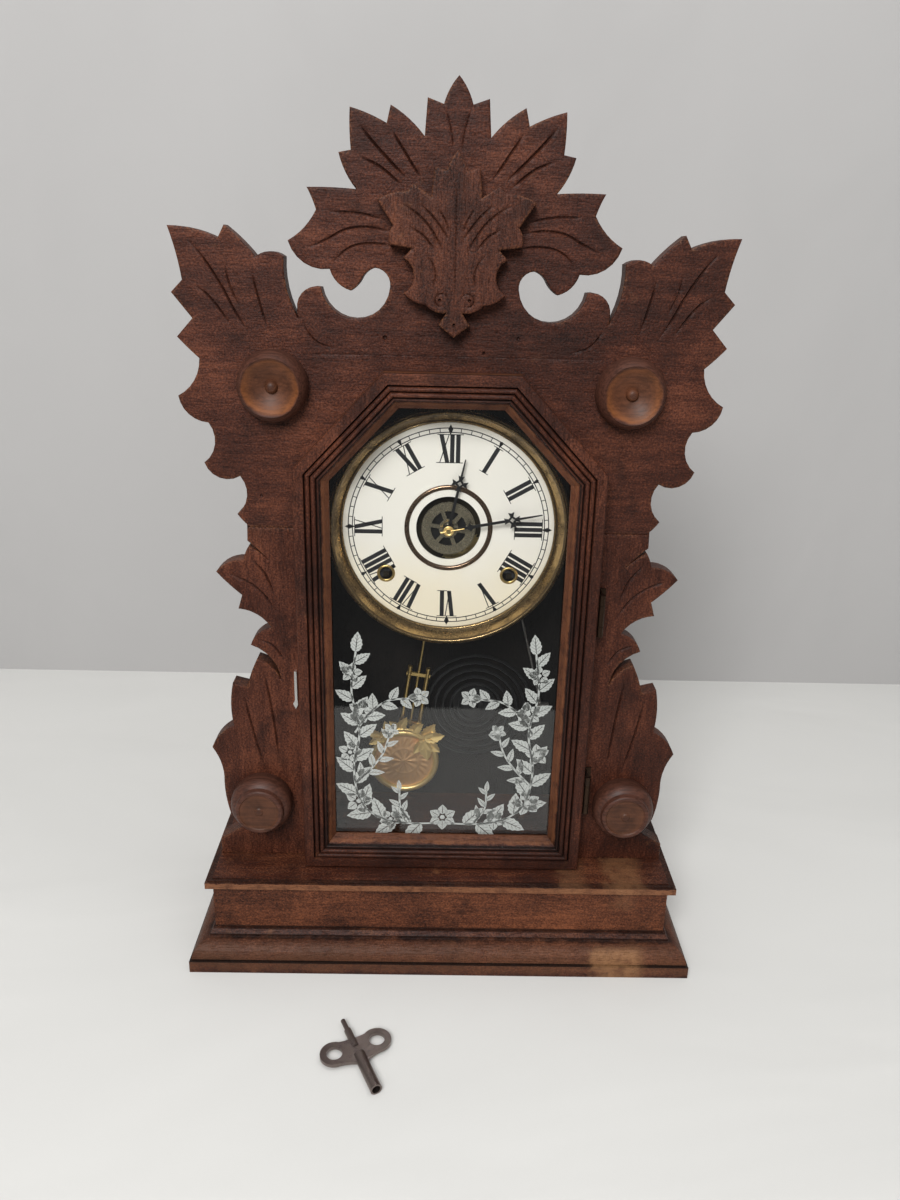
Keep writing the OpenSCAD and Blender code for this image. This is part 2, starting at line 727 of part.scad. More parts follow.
// Domed washer that holds the minute hand on the centre arbor
module hand_washer() {
    color(brass) turned_front(0, minute_y - 0.2, dial_z)
        polygon([[centre_r, 0], [3.4, 0], each bend([3.4, 0], [centre_r, 1.2], 0.3)]);
}

pillar_r = 3;
pillars = [[plate_w / 2 - 6, -plate_up + 6], [-plate_w / 2 + 6, -plate_up + 6], [12, plate_down - 6], [-12, plate_down - 6]];
post_x = plate_w / 2 - 7;
post_up = plate_up - 10;
post_down = plate_down - 6;
dial_posts = [[post_x, -post_up], [-post_x, -post_up], [16, post_down], [-16, post_down]];
feet = [[plate_w / 2 - 6, -plate_up + 6], [-plate_w / 2 + 6, -plate_up + 6], [30, plate_down - 5], [-30, plate_down - 5]];

module plate_shape() {
    difference() {
        translate([-plate_w / 2, -plate_up]) square([plate_w, plate_up + plate_down]);
        for (x = [-1, 1]) translate([x * (plate_w / 2 + 4), plate_down + 4]) rotate(45) square(12, center = true);
        for (x = [-16, 16]) translate([x, 30]) circle(6);
        for (p = [second_p, third_p, escape_p, strike2_p, fly_p]) translate(p) circle(pivot_r + fit);
        for (p = [great_p, strike_p]) translate(p) circle(wind_r + fit);
        circle(centre_r + fit);
    }
}

module front_plate() {
    color(brass) {
        across(centre_p, plate_y, plate_t) plate_shape();
        for (p = dial_posts) rod(p, pan_back, plate_y + eps, 2.5);
        rod(minute_p, hour_wheel_y - 0.3, plate_y + eps, pivot_r);
    }
}

// Back plate with the pillars, the feet on the back board and the pendulum stud
stud_r = 1.5;
module back_plate() {
    color(brass) {
        across(centre_p, rear_y, plate_t) plate_shape();
        for (p = pillars) rod(p, train_y, rear_y + eps, pillar_r);
        for (p = feet) rod(p, rear_back - eps, back_in, pillar_r);
        rod(pivot_p, rear_back - eps, pend_y + 2.5, stud_r);
        rod(pivot_p, pend_y + 2, pend_y + 2.8, stud_r + 1);
        rod(hammer_p, rear_back - eps, gong_y + boss_l / 2 + 1, stud_r);
    }
}

// A winding arbor with its square, hub, ratchet and great wheel
module great_wheel(p, mate) {
    y = train_y + great_l;
    color(brass) across(p, y, great_thick) wheel(great_n, great_m, towards(p, mate), 10);
    color(steel) {
        rod(p, plate_y - 0.5, rear_back + 0.5, wind_r);
        across(p, dial_y - 2, plate_y - 0.5 - dial_y + 2 + eps) square(2 * wind_r * 0.68, center = true);
        rod(p, train_y + spring_l - 1.5, train_y + spring_l + spring_h + fit, 3.8);
        across(p, y - 1.4, 1.4 + eps) polygon([for (i = [0:31]) (i % 2 == 0 ? 9.5 : 8) * [cos(i * 11.25), sin(i * 11.25)]]);
    }
}

// A spring strip wound outwards from the hub of its arbor
strip_r0 = 4.3;
strip_turns = 8;
function strip_at(a, off) = (strip_r0 + (spring_d / 2 - strip_r0) * a / (360 * strip_turns) + off) * [cos(a), sin(a)];
module mainspring(p) {
    steps = strip_turns * 20;
    color(steel) across(p, train_y + spring_l, spring_h)
        polygon([for (i = [0:steps]) strip_at(i * 18, strip_t / 2), for (i = [steps:-1:0]) strip_at(i * 18, -strip_t / 2)]);
}

module time_great_wheel() { great_wheel(great_p, second_p); }
module strike_great_wheel() { great_wheel(strike_p, strike2_p); }
module time_mainspring() { mainspring(great_p); }
module strike_mainspring() { mainspring(strike_p); }

module arbor(p) { color(steel) rod(p, plate_y - 0.5, rear_back + 0.5, pivot_r); }

module second_wheel() {
    arbor(second_p);
    color(steel) lantern(second_p, train_y + great_l, great_thick, great_pins, great_m, towards(second_p, great_p));
    color(brass) across(second_p, train_y + second_l, wheel_thick)
        wheel(second_n, second_m, towards(second_p, centre_p), 6);
}

module centre_wheel() {
    color(steel) {
        rod(centre_p, minute_y - 1.6, rear_back + 0.5, centre_r);
        lantern(centre_p, train_y + second_l, wheel_thick, second_pins, second_m, towards(centre_p, second_p));
    }
    color(brass) across(centre_p, train_y + centre_l, 1)
        wheel(centre_n, centre_m, towards(centre_p, third_p), 6);
}

module third_wheel() {
    arbor(third_p);
    color(steel) lantern(third_p, train_y + centre_l, 1, third_pins, centre_m, towards(third_p, centre_p));
    color(brass) across(third_p, train_y + third_l, 1)
        wheel(third_n, third_m, towards(third_p, escape_p), 5);
}

escape_y = rear_back + 1;
module escape_wheel() {
    color(steel) {
        rod(escape_p, plate_y - 0.5, escape_y + 1.6, pivot_r - 0.2);
        rod(escape_p, plate_y - 0.5, train_y, pivot_r);
        rod(escape_p, rear_y, escape_y, pivot_r);
        lantern(escape_p, train_y + third_l, 1, escape_pins, third_m, towards(escape_p, third_p));
    }
    color(brass) across(escape_p, escape_y, 1) difference() {
        polygon([for (i = [0:2 * escape_n - 1]) (i % 2 == 0 ? escape_r : escape_r - 2.4)
            * [cos(i * 180 / escape_n), sin(i * 180 / escape_n)]]);
        difference() {
            circle(escape_r - 4);
            circle(3.4);
            for (i = [0:1]) rotate(90 * i) square([2 * escape_r, 2], center = true);
        }
    }
}

// Bent verge with a crutch whose two fingers hold the pendulum rod
rod_r = 1.1;
crutch_l = 42;
finger_r = 0.7;
module verge() {
    y = rear_back + 0.7;
    color(steel) {
        across(pivot_p, y, 1.6) rotate(swing_at) difference() {
            union() {
                circle(3);
                polygon([[-2.4, 0], [-12.9, -4], [-13.4, -7.6], [-12.2, -7.2], [-11.6, -5.2], [0, -1.6],
                    [11.6, -5.2], [12.2, -7.2], [13.4, -7.6], [12.9, -4], [2.4, 0]]);
                translate([-0.8, 0]) square([1.6, crutch_l]);
                translate([-rod_r - running - 2 * finger_r, crutch_l - 2]) square([2 * (rod_r + running + 2 * finger_r), 2.4]);
            }
            circle(stud_r + fit);
        }
        for (x = [-1, 1]) let (q = turned([x * (rod_r + running + finger_r), crutch_l - 0.8], swing_at))
            rod(pivot_p + q, y + 1, pend_y + 2, finger_r);
    }
}

module strike_second_wheel() {
    arbor(strike2_p);
    color(steel) lantern(strike2_p, train_y + great_l, great_thick, great_pins, great_m, towards(strike2_p, strike_p));
    color(brass) across(strike2_p, train_y + strike_l, wheel_thick)
        wheel(strike_n, strike_m, towards(strike2_p, fly_p), 5);
}

fan_r = 12;
module fly() {
    arbor(fly_p);
    color(steel) lantern(fly_p, train_y + strike_l, wheel_thick, fly_pins, strike_m, towards(fly_p, strike2_p));
    color(brass) across(fly_p, train_y + 8, 12) square([2 * fan_r, 0.6], center = true);
}

boss_l = 5;
head_l = 10;
head_r = 4.5;
module hammer() {
    head_x = gong_x + gong_r + gong_wire / 2 + strike_gap;
    top = [hammer_p[0], dial_z - hammer_p[1]];
    d = [head_x + head_l / 2, gong_z] - top;
    color(steel) {
        across(hammer_p, gong_y - boss_l / 2, boss_l) difference() {
            circle(stud_r + 2);
            circle(stud_r + fit);
        }
        translate([top[0], gong_y, top[1]]) rotate([0, atan2(d[0], d[1]), 0])
            translate([0, 0, stud_r + 1]) cylinder(h = norm(d) - stud_r - 1, r = 1);
    }
    color(brass) translate([head_x, gong_y, gong_z]) rotate([0, 90, 0]) cylinder(h = head_l, r = head_r);
}

module pendulum_frame() { translate([0, pend_y, pivot_z]) rotate([0, swing_at, 0]) children(); }

bob_r = bob_d / 2;
rod_end = -pend_len + bob_r;
side_l = 48;
module pendulum_rods() {
    color(steel) pendulum_frame() {
        rotate([90, 0, 0]) difference() {
            cylinder(h = 2, r = 3.4, center = true);
            cylinder(h = 3, r = stud_r + fit, center = true);
        }
        translate([0, 0, rod_end + 2 * fit]) cylinder(h = -rod_end - stud_r - 1, r = rod_r);
    }
    color(brass) pendulum_frame() {
        for (x = [-rod_gap, rod_gap]) translate([x, 0, rod_end + 2]) cylinder(h = side_l, r = 1.7);
        for (z = [rod_end + 2.5, rod_end + side_l - 6]) translate([0, 0, z + 2]) cube([2 * rod_gap + 4, 2.2, 2.6], center = true);
    }
}

module pendulum_bob() {
    h = bob_t / 2;
    color(brass) pendulum_frame() translate([0, 0, -pend_len]) rotate([90, 0, 0]) rotate_extrude()
        polygon([[0, -h], [bob_r - 4, -h], each bend([bob_r - 4, -h], [bob_r, -h + 3], 0.3),
            each bend([bob_r, -h + 3], [bob_r - 2.4, h - 1], 0.3), [bob_r - 3.4, h - 1.6],
            each bend([bob_r - 3.4, h - 1.6], [0, h], 0.1)]);
}

// Coil gong: a flat spiral of wire that leaves the face of its holding block
gong_steps = 24;
gong_sides = 6;
gong_path = [[gong_r0, 0], [gong_r0, gong_wire],
    for (i = [2:gong_steps * gong_turns]) let (a = 360 * i / gong_steps)
        (gong_r0 + gong_pitch * a / 360) * [cos(a), sin(a)]];
function heading(path, i) = i == 0 ? path[1] - path[0] :
    let (d = path[min(i + 1, len(path) - 1)] - path[i - 1]) d / norm(d);
function ring_points(path, r) = [for (i = [0:len(path) - 1]) let (d = heading(path, i), u = d / norm(d))
    for (k = [0:gong_sides - 1]) let (a = 360 * k / gong_sides)
        [path[i][0] + r * cos(a) * u[1], path[i][1] - r * cos(a) * u[0], r * sin(a)]];
function tube_faces(n, s) = [[for (k = [0:s - 1]) k], [for (k = [s - 1:-1:0]) (n - 1) * s + k],
    for (i = [0:n - 2]) for (k = [0:s - 1]) let (a = i * s + k, b = i * s + (k + 1) % s)
        each [[a, a + s, b + s], [a, b + s, b]]];
gong_gap = min([for (i = [0:len(gong_path) - 1]) for (j = [i + gong_steps / 3:len(gong_path) - 1])
    norm(gong_path[i] - gong_path[j])]) - gong_wire;
echo("least gap between gong turns", gong_gap);

module gong_frame(y) { translate([gong_x, y, gong_z]) rotate([-90, 0, 0]) children(); }
module gong_coil() {
    color(iron) gong_frame(gong_y) polyhedron(ring_points(gong_path, gong_wire / 2), tube_faces(len(gong_path), gong_sides), 4);
}

plinth_t = 4;
block_w = 4.8;
block_h = 4.5;
module gong_base() {
    color(iron) {
        gong_frame(back_in - plinth_t) cylinder(h = plinth_t, r = gong_r0 + 7);
        gong_frame(gong_y - 3) translate([gong_r0 - block_w / 2, -block_h, 0])
            cube([block_w, block_h, back_in - plinth_t - gong_y + 3 + eps]);
        gong_frame(gong_y - 6) cylinder(h = back_in - gong_y + 2, r = 3);
    }
}

// Double winding key lying on the floor in front of the base
key_r = 9;
key_t = 2.2;
barrel_r = 3.6;
square_r = 1.9;
key_x = -52;
key_turn = 25;
module key_frame() {
    translate([key_x, base_front - key_out, barrel_r]) rotate([0, 0, key_turn]) children();
}
module winding_key() {
    color(steel) key_frame() difference() {
        union() {
            translate([0, 0, -key_t / 2]) linear_extrude(key_t) union() {
                for (x = [-key_holes / 2, key_holes / 2]) translate([x, 0]) circle(key_r);
                polygon(concat([[-key_holes / 2, -key_r]], bend([-key_holes / 2, -key_r], [-3.5, -key_r - 3], -0.1),
                    [[3.5, -key_r - 3]], bend([3.5, -key_r - 3], [key_holes / 2, -key_r], -0.1),
                    [[key_holes / 2, key_r]], bend([key_holes / 2, key_r], [0, key_r - 2], -0.15),
                    bend([0, key_r - 2], [-key_holes / 2, key_r], -0.15)));
            }
            translate([0, 3 - key_r, 0]) rotate([90, 0, 0]) cylinder(h = key_barrel - key_r + 3, r = barrel_r);
            rotate([-90, 0, 0]) cylinder(h = 15, r = square_r + 0.4);
            translate([0, 15 - eps, 0]) rotate([-90, 0, 0]) cylinder(h = 9, r = square_r - 0.4);
        }
        for (x = [-key_holes / 2, key_holes / 2]) translate([x, 0, -key_t]) cylinder(h = 2 * key_t, r = 5);
        translate([0, -key_barrel - 1, 0]) rotate([-90, 0, 0]) cylinder(h = 13, r = barrel_r - 1);
    }
}

base_front_moulding();
base_left_moulding();
base_right_moulding();
front_riser();
left_riser();
right_riser();
bottom_board();
shelf();
left_front_board();
right_front_board();
crest_board();
crest_ornament();
left_rosette();
right_rosette();
left_knob();
right_knob();
left_case_side();
right_case_side();
case_top();
back_board();
door_bottom_rail();
door_left_stile();
door_right_stile();
door_left_shoulder();
door_right_shoulder();
door_top_rail();
door_glass();
glass_beads();
hinge_case_leaves();
hinge_door_leaves();
door_latch();
dial_face();
dial_pan();
dial_bezel();
centre_ring();
winding_grommets();
alarm_disc();
hour_hand();
minute_hand();
minute_wheel();
hand_washer();
front_plate();
back_plate();
time_great_wheel();
strike_great_wheel();
time_mainspring();
strike_mainspring();
second_wheel();
centre_wheel();
third_wheel();
escape_wheel();
verge();
strike_second_wheel();
fly();
hammer();
pendulum_rods();
pendulum_bob();
gong_coil();
gong_base();
winding_key();
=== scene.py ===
"""Looks of a carved walnut kitchen clock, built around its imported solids."""

from __future__ import annotations

import logging
import math
from dataclasses import dataclass, field
from enum import Enum
from typing import Protocol, Sequence, Union

import bmesh
import bpy
import numpy as np
from mathutils import Matrix, Vector
from mathutils.geometry import delaunay_2d_cdt


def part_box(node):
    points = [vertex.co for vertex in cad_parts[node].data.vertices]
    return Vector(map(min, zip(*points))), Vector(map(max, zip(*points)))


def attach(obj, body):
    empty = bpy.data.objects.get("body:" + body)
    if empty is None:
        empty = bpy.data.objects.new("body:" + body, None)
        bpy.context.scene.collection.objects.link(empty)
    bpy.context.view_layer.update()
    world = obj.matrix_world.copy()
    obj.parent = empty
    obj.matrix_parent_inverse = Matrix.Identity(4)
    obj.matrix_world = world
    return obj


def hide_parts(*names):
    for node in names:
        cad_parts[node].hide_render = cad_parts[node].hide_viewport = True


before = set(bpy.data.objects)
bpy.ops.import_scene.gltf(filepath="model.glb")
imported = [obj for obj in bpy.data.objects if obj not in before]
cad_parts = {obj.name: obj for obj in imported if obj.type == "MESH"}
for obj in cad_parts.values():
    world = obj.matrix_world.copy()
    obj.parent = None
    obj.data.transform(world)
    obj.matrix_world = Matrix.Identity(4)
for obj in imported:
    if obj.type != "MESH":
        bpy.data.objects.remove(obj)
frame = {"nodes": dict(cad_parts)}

LOG = logging.getLogger("clock")
MM = 0.001
PER_METRE = 1000.0
Array = np.ndarray
Colour = tuple[float, float, float]


class Axis(Enum):
    """A direction of the row frame: the run of wood grain, of a band of tint or of folds."""

    X = 0
    Y = 1
    Z = 2


class Wire:
    """A shader socket that takes part in arithmetic."""

    def __init__(self, graph: Graph, socket: bpy.types.NodeSocket) -> None:
        """Keeps the socket and the graph that it belongs to."""
        self.graph = graph
        self.socket = socket

    def __add__(self, other: Feed) -> Wire:
        """Returns the sum."""
        return self.graph.math("ADD", self, other)

    def __sub__(self, other: Feed) -> Wire:
        """Returns the difference."""
        return self.graph.math("SUBTRACT", self, other)

    def __mul__(self, other: Feed) -> Wire:
        """Returns the product."""
        return self.graph.math("MULTIPLY", self, other)

    def __truediv__(self, other: Feed) -> Wire:
        """Returns the quotient."""
        return self.graph.math("DIVIDE", self, other)

    def __pow__(self, other: Feed) -> Wire:
        """Returns the power."""
        return self.graph.math("POWER", self, other)

    def __radd__(self, other: float) -> Wire:
        """Returns the sum with a number in front."""
        return self.graph.math("ADD", other, self)

    def __rsub__(self, other: float) -> Wire:
        """Returns a number less this socket."""
        return self.graph.math("SUBTRACT", other, self)

    def __rmul__(self, other: float) -> Wire:
        """Returns the product with a number in front."""
        return self.graph.math("MULTIPLY", other, self)

    def __rtruediv__(self, other: float) -> Wire:
        """Returns a number divided by this socket."""
        return self.graph.math("DIVIDE", other, self)

    def __neg__(self) -> Wire:
        """Returns the opposite."""
        return self.graph.math("MULTIPLY", self, -1.0)

    def __abs__(self) -> Wire:
        """Returns the size without its sign."""
        return self.graph.math("ABSOLUTE", self)

    def band(self, low: float, high: float, start: float = 0.0, end: float = 1.0) -> Wire:
        """Maps a span smoothly and clamped.

        Args:
            low: value mapped to start.
            high: value mapped to end.
            start: result at low.
            end: result at high.

        Returns:
            The mapped value.
        """
        return self.graph.make("ShaderNodeMapRange", {"interpolation_type": "SMOOTHSTEP"}, Value=self,
                               From_Min=low, From_Max=high, To_Min=start, To_Max=end)


Feed = Union[Wire, float, int, Sequence[float]]


class Graph:
    """A material with its node tree and a principled surface."""

    def __init__(self, name: str) -> None:
        """Makes the material with an empty tree.

        Args:
            name: name of the material.
        """
        self.material = bpy.data.materials.new(name)
        self.material.use_nodes = True
        self.tree = self.material.node_tree
        self.tree.nodes.clear()
        self.output = self.tree.nodes.new("ShaderNodeOutputMaterial")
        self.shader = self.tree.nodes.new("ShaderNodeBsdfPrincipled")
        self.tree.links.new(self.shader.outputs[0], self.output.inputs["Surface"])
        self._object: Wire | None = None

    def feed(self, socket: bpy.types.NodeSocket, value: Feed) -> None:
        """Links or sets one input.

        Args:
            socket: the input.
            value: a wire to link, or a value to set.
        """
        if isinstance(value, Wire):
            self.tree.links.new(value.socket, socket)
            return
        if socket.type == "RGBA" and not isinstance(value, (int, float)) and len(value) == 3:
            value = (*value, 1.0)
        socket.default_value = value

    def make(self, kind: str, props: dict | None = None, out: int | str = 0, **feeds: Feed) -> Wire:
        """Adds any node.

        Args:
            kind: node type.
            props: plain properties of the node.
            out: output to return.
            feeds: inputs by name, with an underscore for a space, or by place as in_0.

        Returns:
            The chosen output.
        """
        node = self.tree.nodes.new(kind)
        for key, value in (props or {}).items():
            setattr(node, key, value)
        for key, value in feeds.items():
            slot = int(key[3:]) if key.startswith("in_") else key.replace("_", " ")
            self.feed(node.inputs[slot], value)
        return Wire(self, node.outputs[out])

    def math(self, operation: str, *values: Feed) -> Wire:
        """Adds a maths node.

        Args:
            operation: its operation.
            values: its inputs in order.

        Returns:
            The result.
        """
        feeds = {f"in_{i}": v for i, v in enumerate(values)}
        return self.make("ShaderNodeMath", {"operation": operation}, **feeds)

    def place(self) -> Wire:
        """Returns the object coordinates, which are the row frame in metres."""
        if self._object is None:
            self._object = self.make("ShaderNodeTexCoord", out="Object")
        return self._object

    def axes(self) -> tuple[Wire, Wire, Wire]:
        """Returns the three object coordinates as numbers, in millimetres."""
        return tuple(part * PER_METRE for part in self.split(self.place()))

    def split(self, vector: Wire) -> tuple[Wire, Wire, Wire]:
        """Returns the three parts of a vector."""
        node = self.tree.nodes.new("ShaderNodeSeparateXYZ")
        self.feed(node.inputs[0], vector)
        return tuple(Wire(self, socket) for socket in node.outputs)

    def radius(self, x: Wire, z: Wire) -> Wire:
        """Returns the distance from the axis, sqrt(x^2 + z^2)."""
        return self.math("SQRT", x * x + z * z)

    def join(self, x: Feed, y: Feed, z: Feed) -> Wire:
        """Returns a vector of three numbers."""
        return self.make("ShaderNodeCombineXYZ", X=x, Y=y, Z=z)

    def stretched(self, grain: Axis, along: float, across: float) -> Wire:
        """Returns object coordinates stretched along the grain.

        Args:
            grain: direction of the grain.
            along: scale along it.
            across: scale across it.
        """
        scale = [across] * 3
        scale[grain.value] = along
        return self.make("ShaderNodeMapping", Vector=self.place(), Scale=scale)

    def noise(self, vector: Wire, scale: float, detail: float = 3.0, rough: float = 0.5,
              warp: float = 0.0) -> Wire:
        """Returns a noise value.

        Args:
            vector: where it is read.
            scale: its scale.
            detail: number of octaves.
            rough: weight of the finer octaves.
            warp: its distortion.
        """
        return self.make("ShaderNodeTexNoise", Vector=vector, Scale=scale, Detail=detail, Roughness=rough,
                         Distortion=warp)

    def mix(self, factor: Feed, a: Feed, b: Feed) -> Wire:
        """Returns a mix of two colours.

        Args:
            factor: share of the second colour.
            a: the first colour.
            b: the second colour.
        """
        return self.make("ShaderNodeMix", {"data_type": "RGBA"}, out=2, in_0=factor, in_6=a, in_7=b)

    def ramp(self, factor: Wire, stops: Sequence[tuple[float, Colour]]) -> Wire:
        """Returns a colour from a ramp.

        Args:
            factor: place along the ramp.
            stops: places and colours.
        """
        node = self.tree.nodes.new("ShaderNodeValToRGB")
        ramp = node.color_ramp
        while len(ramp.elements) < len(stops):
            ramp.elements.new(0.5)
        for element, (at, colour) in zip(ramp.elements, stops):
            element.position = at
            element.color = (*colour, 1.0)
        self.feed(node.inputs[0], factor)
        return Wire(self, node.outputs[0])

    def bump(self, height: Wire, strength: float, distance: float) -> None:
        """Feeds a bump to the surface.

        Args:
            height: the height field.
            strength: its strength.
            distance: height of a full step in metres.
        """
        normal = self.make("ShaderNodeBump", Strength=strength, Distance=distance, Height=height)
        self.feed(self.shader.inputs["Normal"], normal)

    def surface(self, **feeds: Feed) -> bpy.types.Material:
        """Sets inputs of the principled surface and returns the material."""
        for key, value in feeds.items():
            self.feed(self.shader.inputs[key.replace("_", " ")], value)
        return self.material


def scaled(colour: Colour, share: float) -> Colour:
    """Returns a colour with each part times a share.

    Args:
        colour: the colour.
        share: below one for a darker colour, above one for a lighter one.
    """
    return tuple(c * share for c in colour)


@dataclass(frozen=True)
class Band:
    """A stretch of a surface with its own tint, such as painted shade and dirt in a quirk, or a worn slope.

    Attributes:
        axis: direction along which the stretch is measured.
        low: where it starts, in millimetres.
        high: where it ends.
        colour: its tint.
        strength: share of the tint.
        soft: width over which it fades.
        ragged: how far noise shifts its ends.
        middle: x of its middle, where it covers only a part of the width.
        half: half of that width, or zero for the whole width.
    """

    axis: Axis
    low: float
    high: float
    colour: Colour
    strength: float
    soft: float
    ragged: float = 0.0
    middle: float = 0.0
    half: float = 0.0

    def lay(self, g: Graph, base: Wire) -> Wire:
        """Returns the colour with the tint laid over it.

        Args:
            g: graph of the material.
            base: colour below the tint.
        """
        axes = g.axes()
        drift = g.noise(g.place(), 130.0, 5.0, 0.66, 0.2) - 0.5
        at = axes[self.axis.value] + drift * self.ragged
        rise = at.band(self.low - self.soft, self.low + self.soft)
        fall = at.band(self.high - self.soft, self.high + self.soft, 1.0, 0.0)
        share = rise * fall * self.strength
        if self.half:
            away = abs(axes[0] - self.middle + drift * 16.0)
            share = share * away.band(self.half - 6.0, self.half + 5.0, 1.0, 0.0)
        if self.ragged:
            share = share * drift.band(-0.22, 0.1, 0.35, 1.0)
        return g.mix(share, base, self.colour)


@dataclass(frozen=True)
class Wood:
    """Old shellacked walnut with streaks, pores, wear and dirt, and painted shade in its carved cuts and in
    some of its bands.

    Attributes:
        name: name of the material.
        grain: direction of the grain.
        dark: colour of the dark streaks.
        mid: colour of the ground.
        light: colour of the light streaks.
        worn: colour where the finish is worn off.
        wear: share of worn orange-brown patches.
        gloss: roughness of the finish.
        seed: shift that gives each board its own figure.
        pore: darkness of the pores.
        bands: stretches with a tint of their own, some of them painted shade.
    """

    name: str
    grain: Axis
    dark: Colour = (0.0125, 0.0042, 0.0028)
    mid: Colour = (0.048, 0.0130, 0.0066)
    light: Colour = (0.138, 0.0425, 0.0202)
    worn: Colour = (0.19, 0.078, 0.034)
    wear: float = 0.15
    gloss: float = 0.46
    seed: float = 0.0
    pore: float = 0.22
    bands: tuple[Band, ...] = ()

    def make(self) -> bpy.types.Material:
        """Returns the material."""
        g = Graph(self.name)
        figure = (self.seed, self.seed * 0.7, self.seed * 1.3)
        shift = g.make("ShaderNodeVectorMath", {"operation": "ADD"},
                       in_0=g.stretched(self.grain, 0.10, 1.0), in_1=figure)
        broad = g.noise(g.place(), 17.0, 3.0, 0.55, 0.3)
        streak = g.noise(shift, 210.0, 4.0, 0.62, 0.3)
        fine = g.noise(g.stretched(self.grain, 0.08, 1.0), 1500.0, 2.0, 0.6)
        grit = g.noise(g.place(), 820.0, 3.0, 0.66)
        pores = g.noise(g.stretched(self.grain, 0.06, 1.0), 2400.0, 1.0, 0.5).band(0.58, 0.70)
        tone = broad * 0.52 + streak * 0.34 + fine * 0.10 + grit * 0.66 - 0.31
        base = g.ramp(tone, ((0.30, self.dark), (0.5, self.mid), (0.72, self.light)))
        base = g.mix(pores * self.pore, base, self.dark)
        blot = g.noise(g.place(), 44.0, 5.0, 0.64, 0.4)
        base = g.mix(blot.band(0.49, 0.70, 0.0, 0.52), base, self.dark)
        worn = g.noise(g.place(), 60.0, 5.0, 0.68, 0.3).band(0.66 - 0.2 * self.wear, 0.80) * self.wear * 2.2
        base = g.mix(worn, base, self.worn)
        # Painted shade and dirt in the carved cuts: darker where a cut is deeper.
        cut = g.make("ShaderNodeAttribute", {"attribute_name": "cut"}, out="Fac")
        base = g.mix(cut * 0.5, base, scaled(self.dark, 0.35))
        for band in self.bands:
            base = band.lay(g, base)
        rim = g.make("ShaderNodeAttribute", {"attribute_name": "rim"}, out="Fac")
        chipped = grit.band(0.42, 0.62, 0.0, 0.6) * blot.band(0.40, 0.58)
        base = g.mix(rim * chipped, base, self.worn)
        rough = blot * 0.2 + fine * 0.14 + (self.gloss - 0.12)
        g.bump(fine * 0.3 - pores * 0.6 + grit * 1.1, 0.8, 0.0005)
        return g.surface(Base_Color=base, Roughness=rough, Coat_Weight=0.02, Coat_Roughness=0.3,
                         Specular_IOR_Level=0.18)


@dataclass(frozen=True)
class Metal:
    """A metal with tarnish, fine scratches and dull spots.

    Attributes:
        name: name of the material.
        bright: colour where clean.
        dull: colour where tarnished.
        tarnish: share of dull metal.
        rough: roughness where clean.
        scale: scale of the spots.
        metal: share of metal where clean.
        stamp: strength of the fine relief.
    """

    name: str
    bright: Colour
    dull: Colour
    tarnish: float
    rough: float
    scale: float = 90.0
    metal: float = 1.0
    stamp: float = 0.15

    def make(self) -> bpy.types.Material:
        """Returns the material."""
        g = Graph(self.name)
        spots = g.noise(g.place(), self.scale, 5.0, 0.62, 0.3)
        specks = g.noise(g.place(), self.scale * 14.0, 2.0, 0.6)
        share = (spots * 0.75 + specks * 0.25).band(0.72 - 0.45 * self.tarnish, 0.86 - 0.35 * self.tarnish)
        lines = g.noise(g.stretched(Axis.X, 0.1, 1.0), 2600.0, 1.0, 0.5)
        g.bump(lines * 0.3 + specks * 0.5, self.stamp, 0.0002)
        tint = g.mix(share, self.bright, self.dull)
        return g.surface(Base_Color=tint, Metallic=self.metal - share * 0.35,
                         Roughness=share * 0.28 + specks * 0.1 + self.rough)


@dataclass(frozen=True)
class Coating:
    """A paint, print or japanned coat that is nearly even.

    Attributes:
        name: name of the material.
        colour: its colour.
        rough: its roughness.
        vary: how much the colour varies.
        scale: scale of the variation.
    """

    name: str
    colour: Colour
    rough: float
    vary: float = 0.25
    scale: float = 300.0

    def make(self) -> bpy.types.Material:
        """Returns the material."""
        g = Graph(self.name)
        cloud = g.noise(g.place(), self.scale, 4.0, 0.6)
        tint = g.mix(cloud.band(0.35, 0.7, 0.0, self.vary), self.colour, scaled(self.colour, 0.45))
        g.bump(g.noise(g.place(), self.scale * 8.0, 2.0), 0.08, 0.0002)
        return g.surface(Base_Color=tint, Roughness=cloud * 0.15 + (self.rough - 0.07))


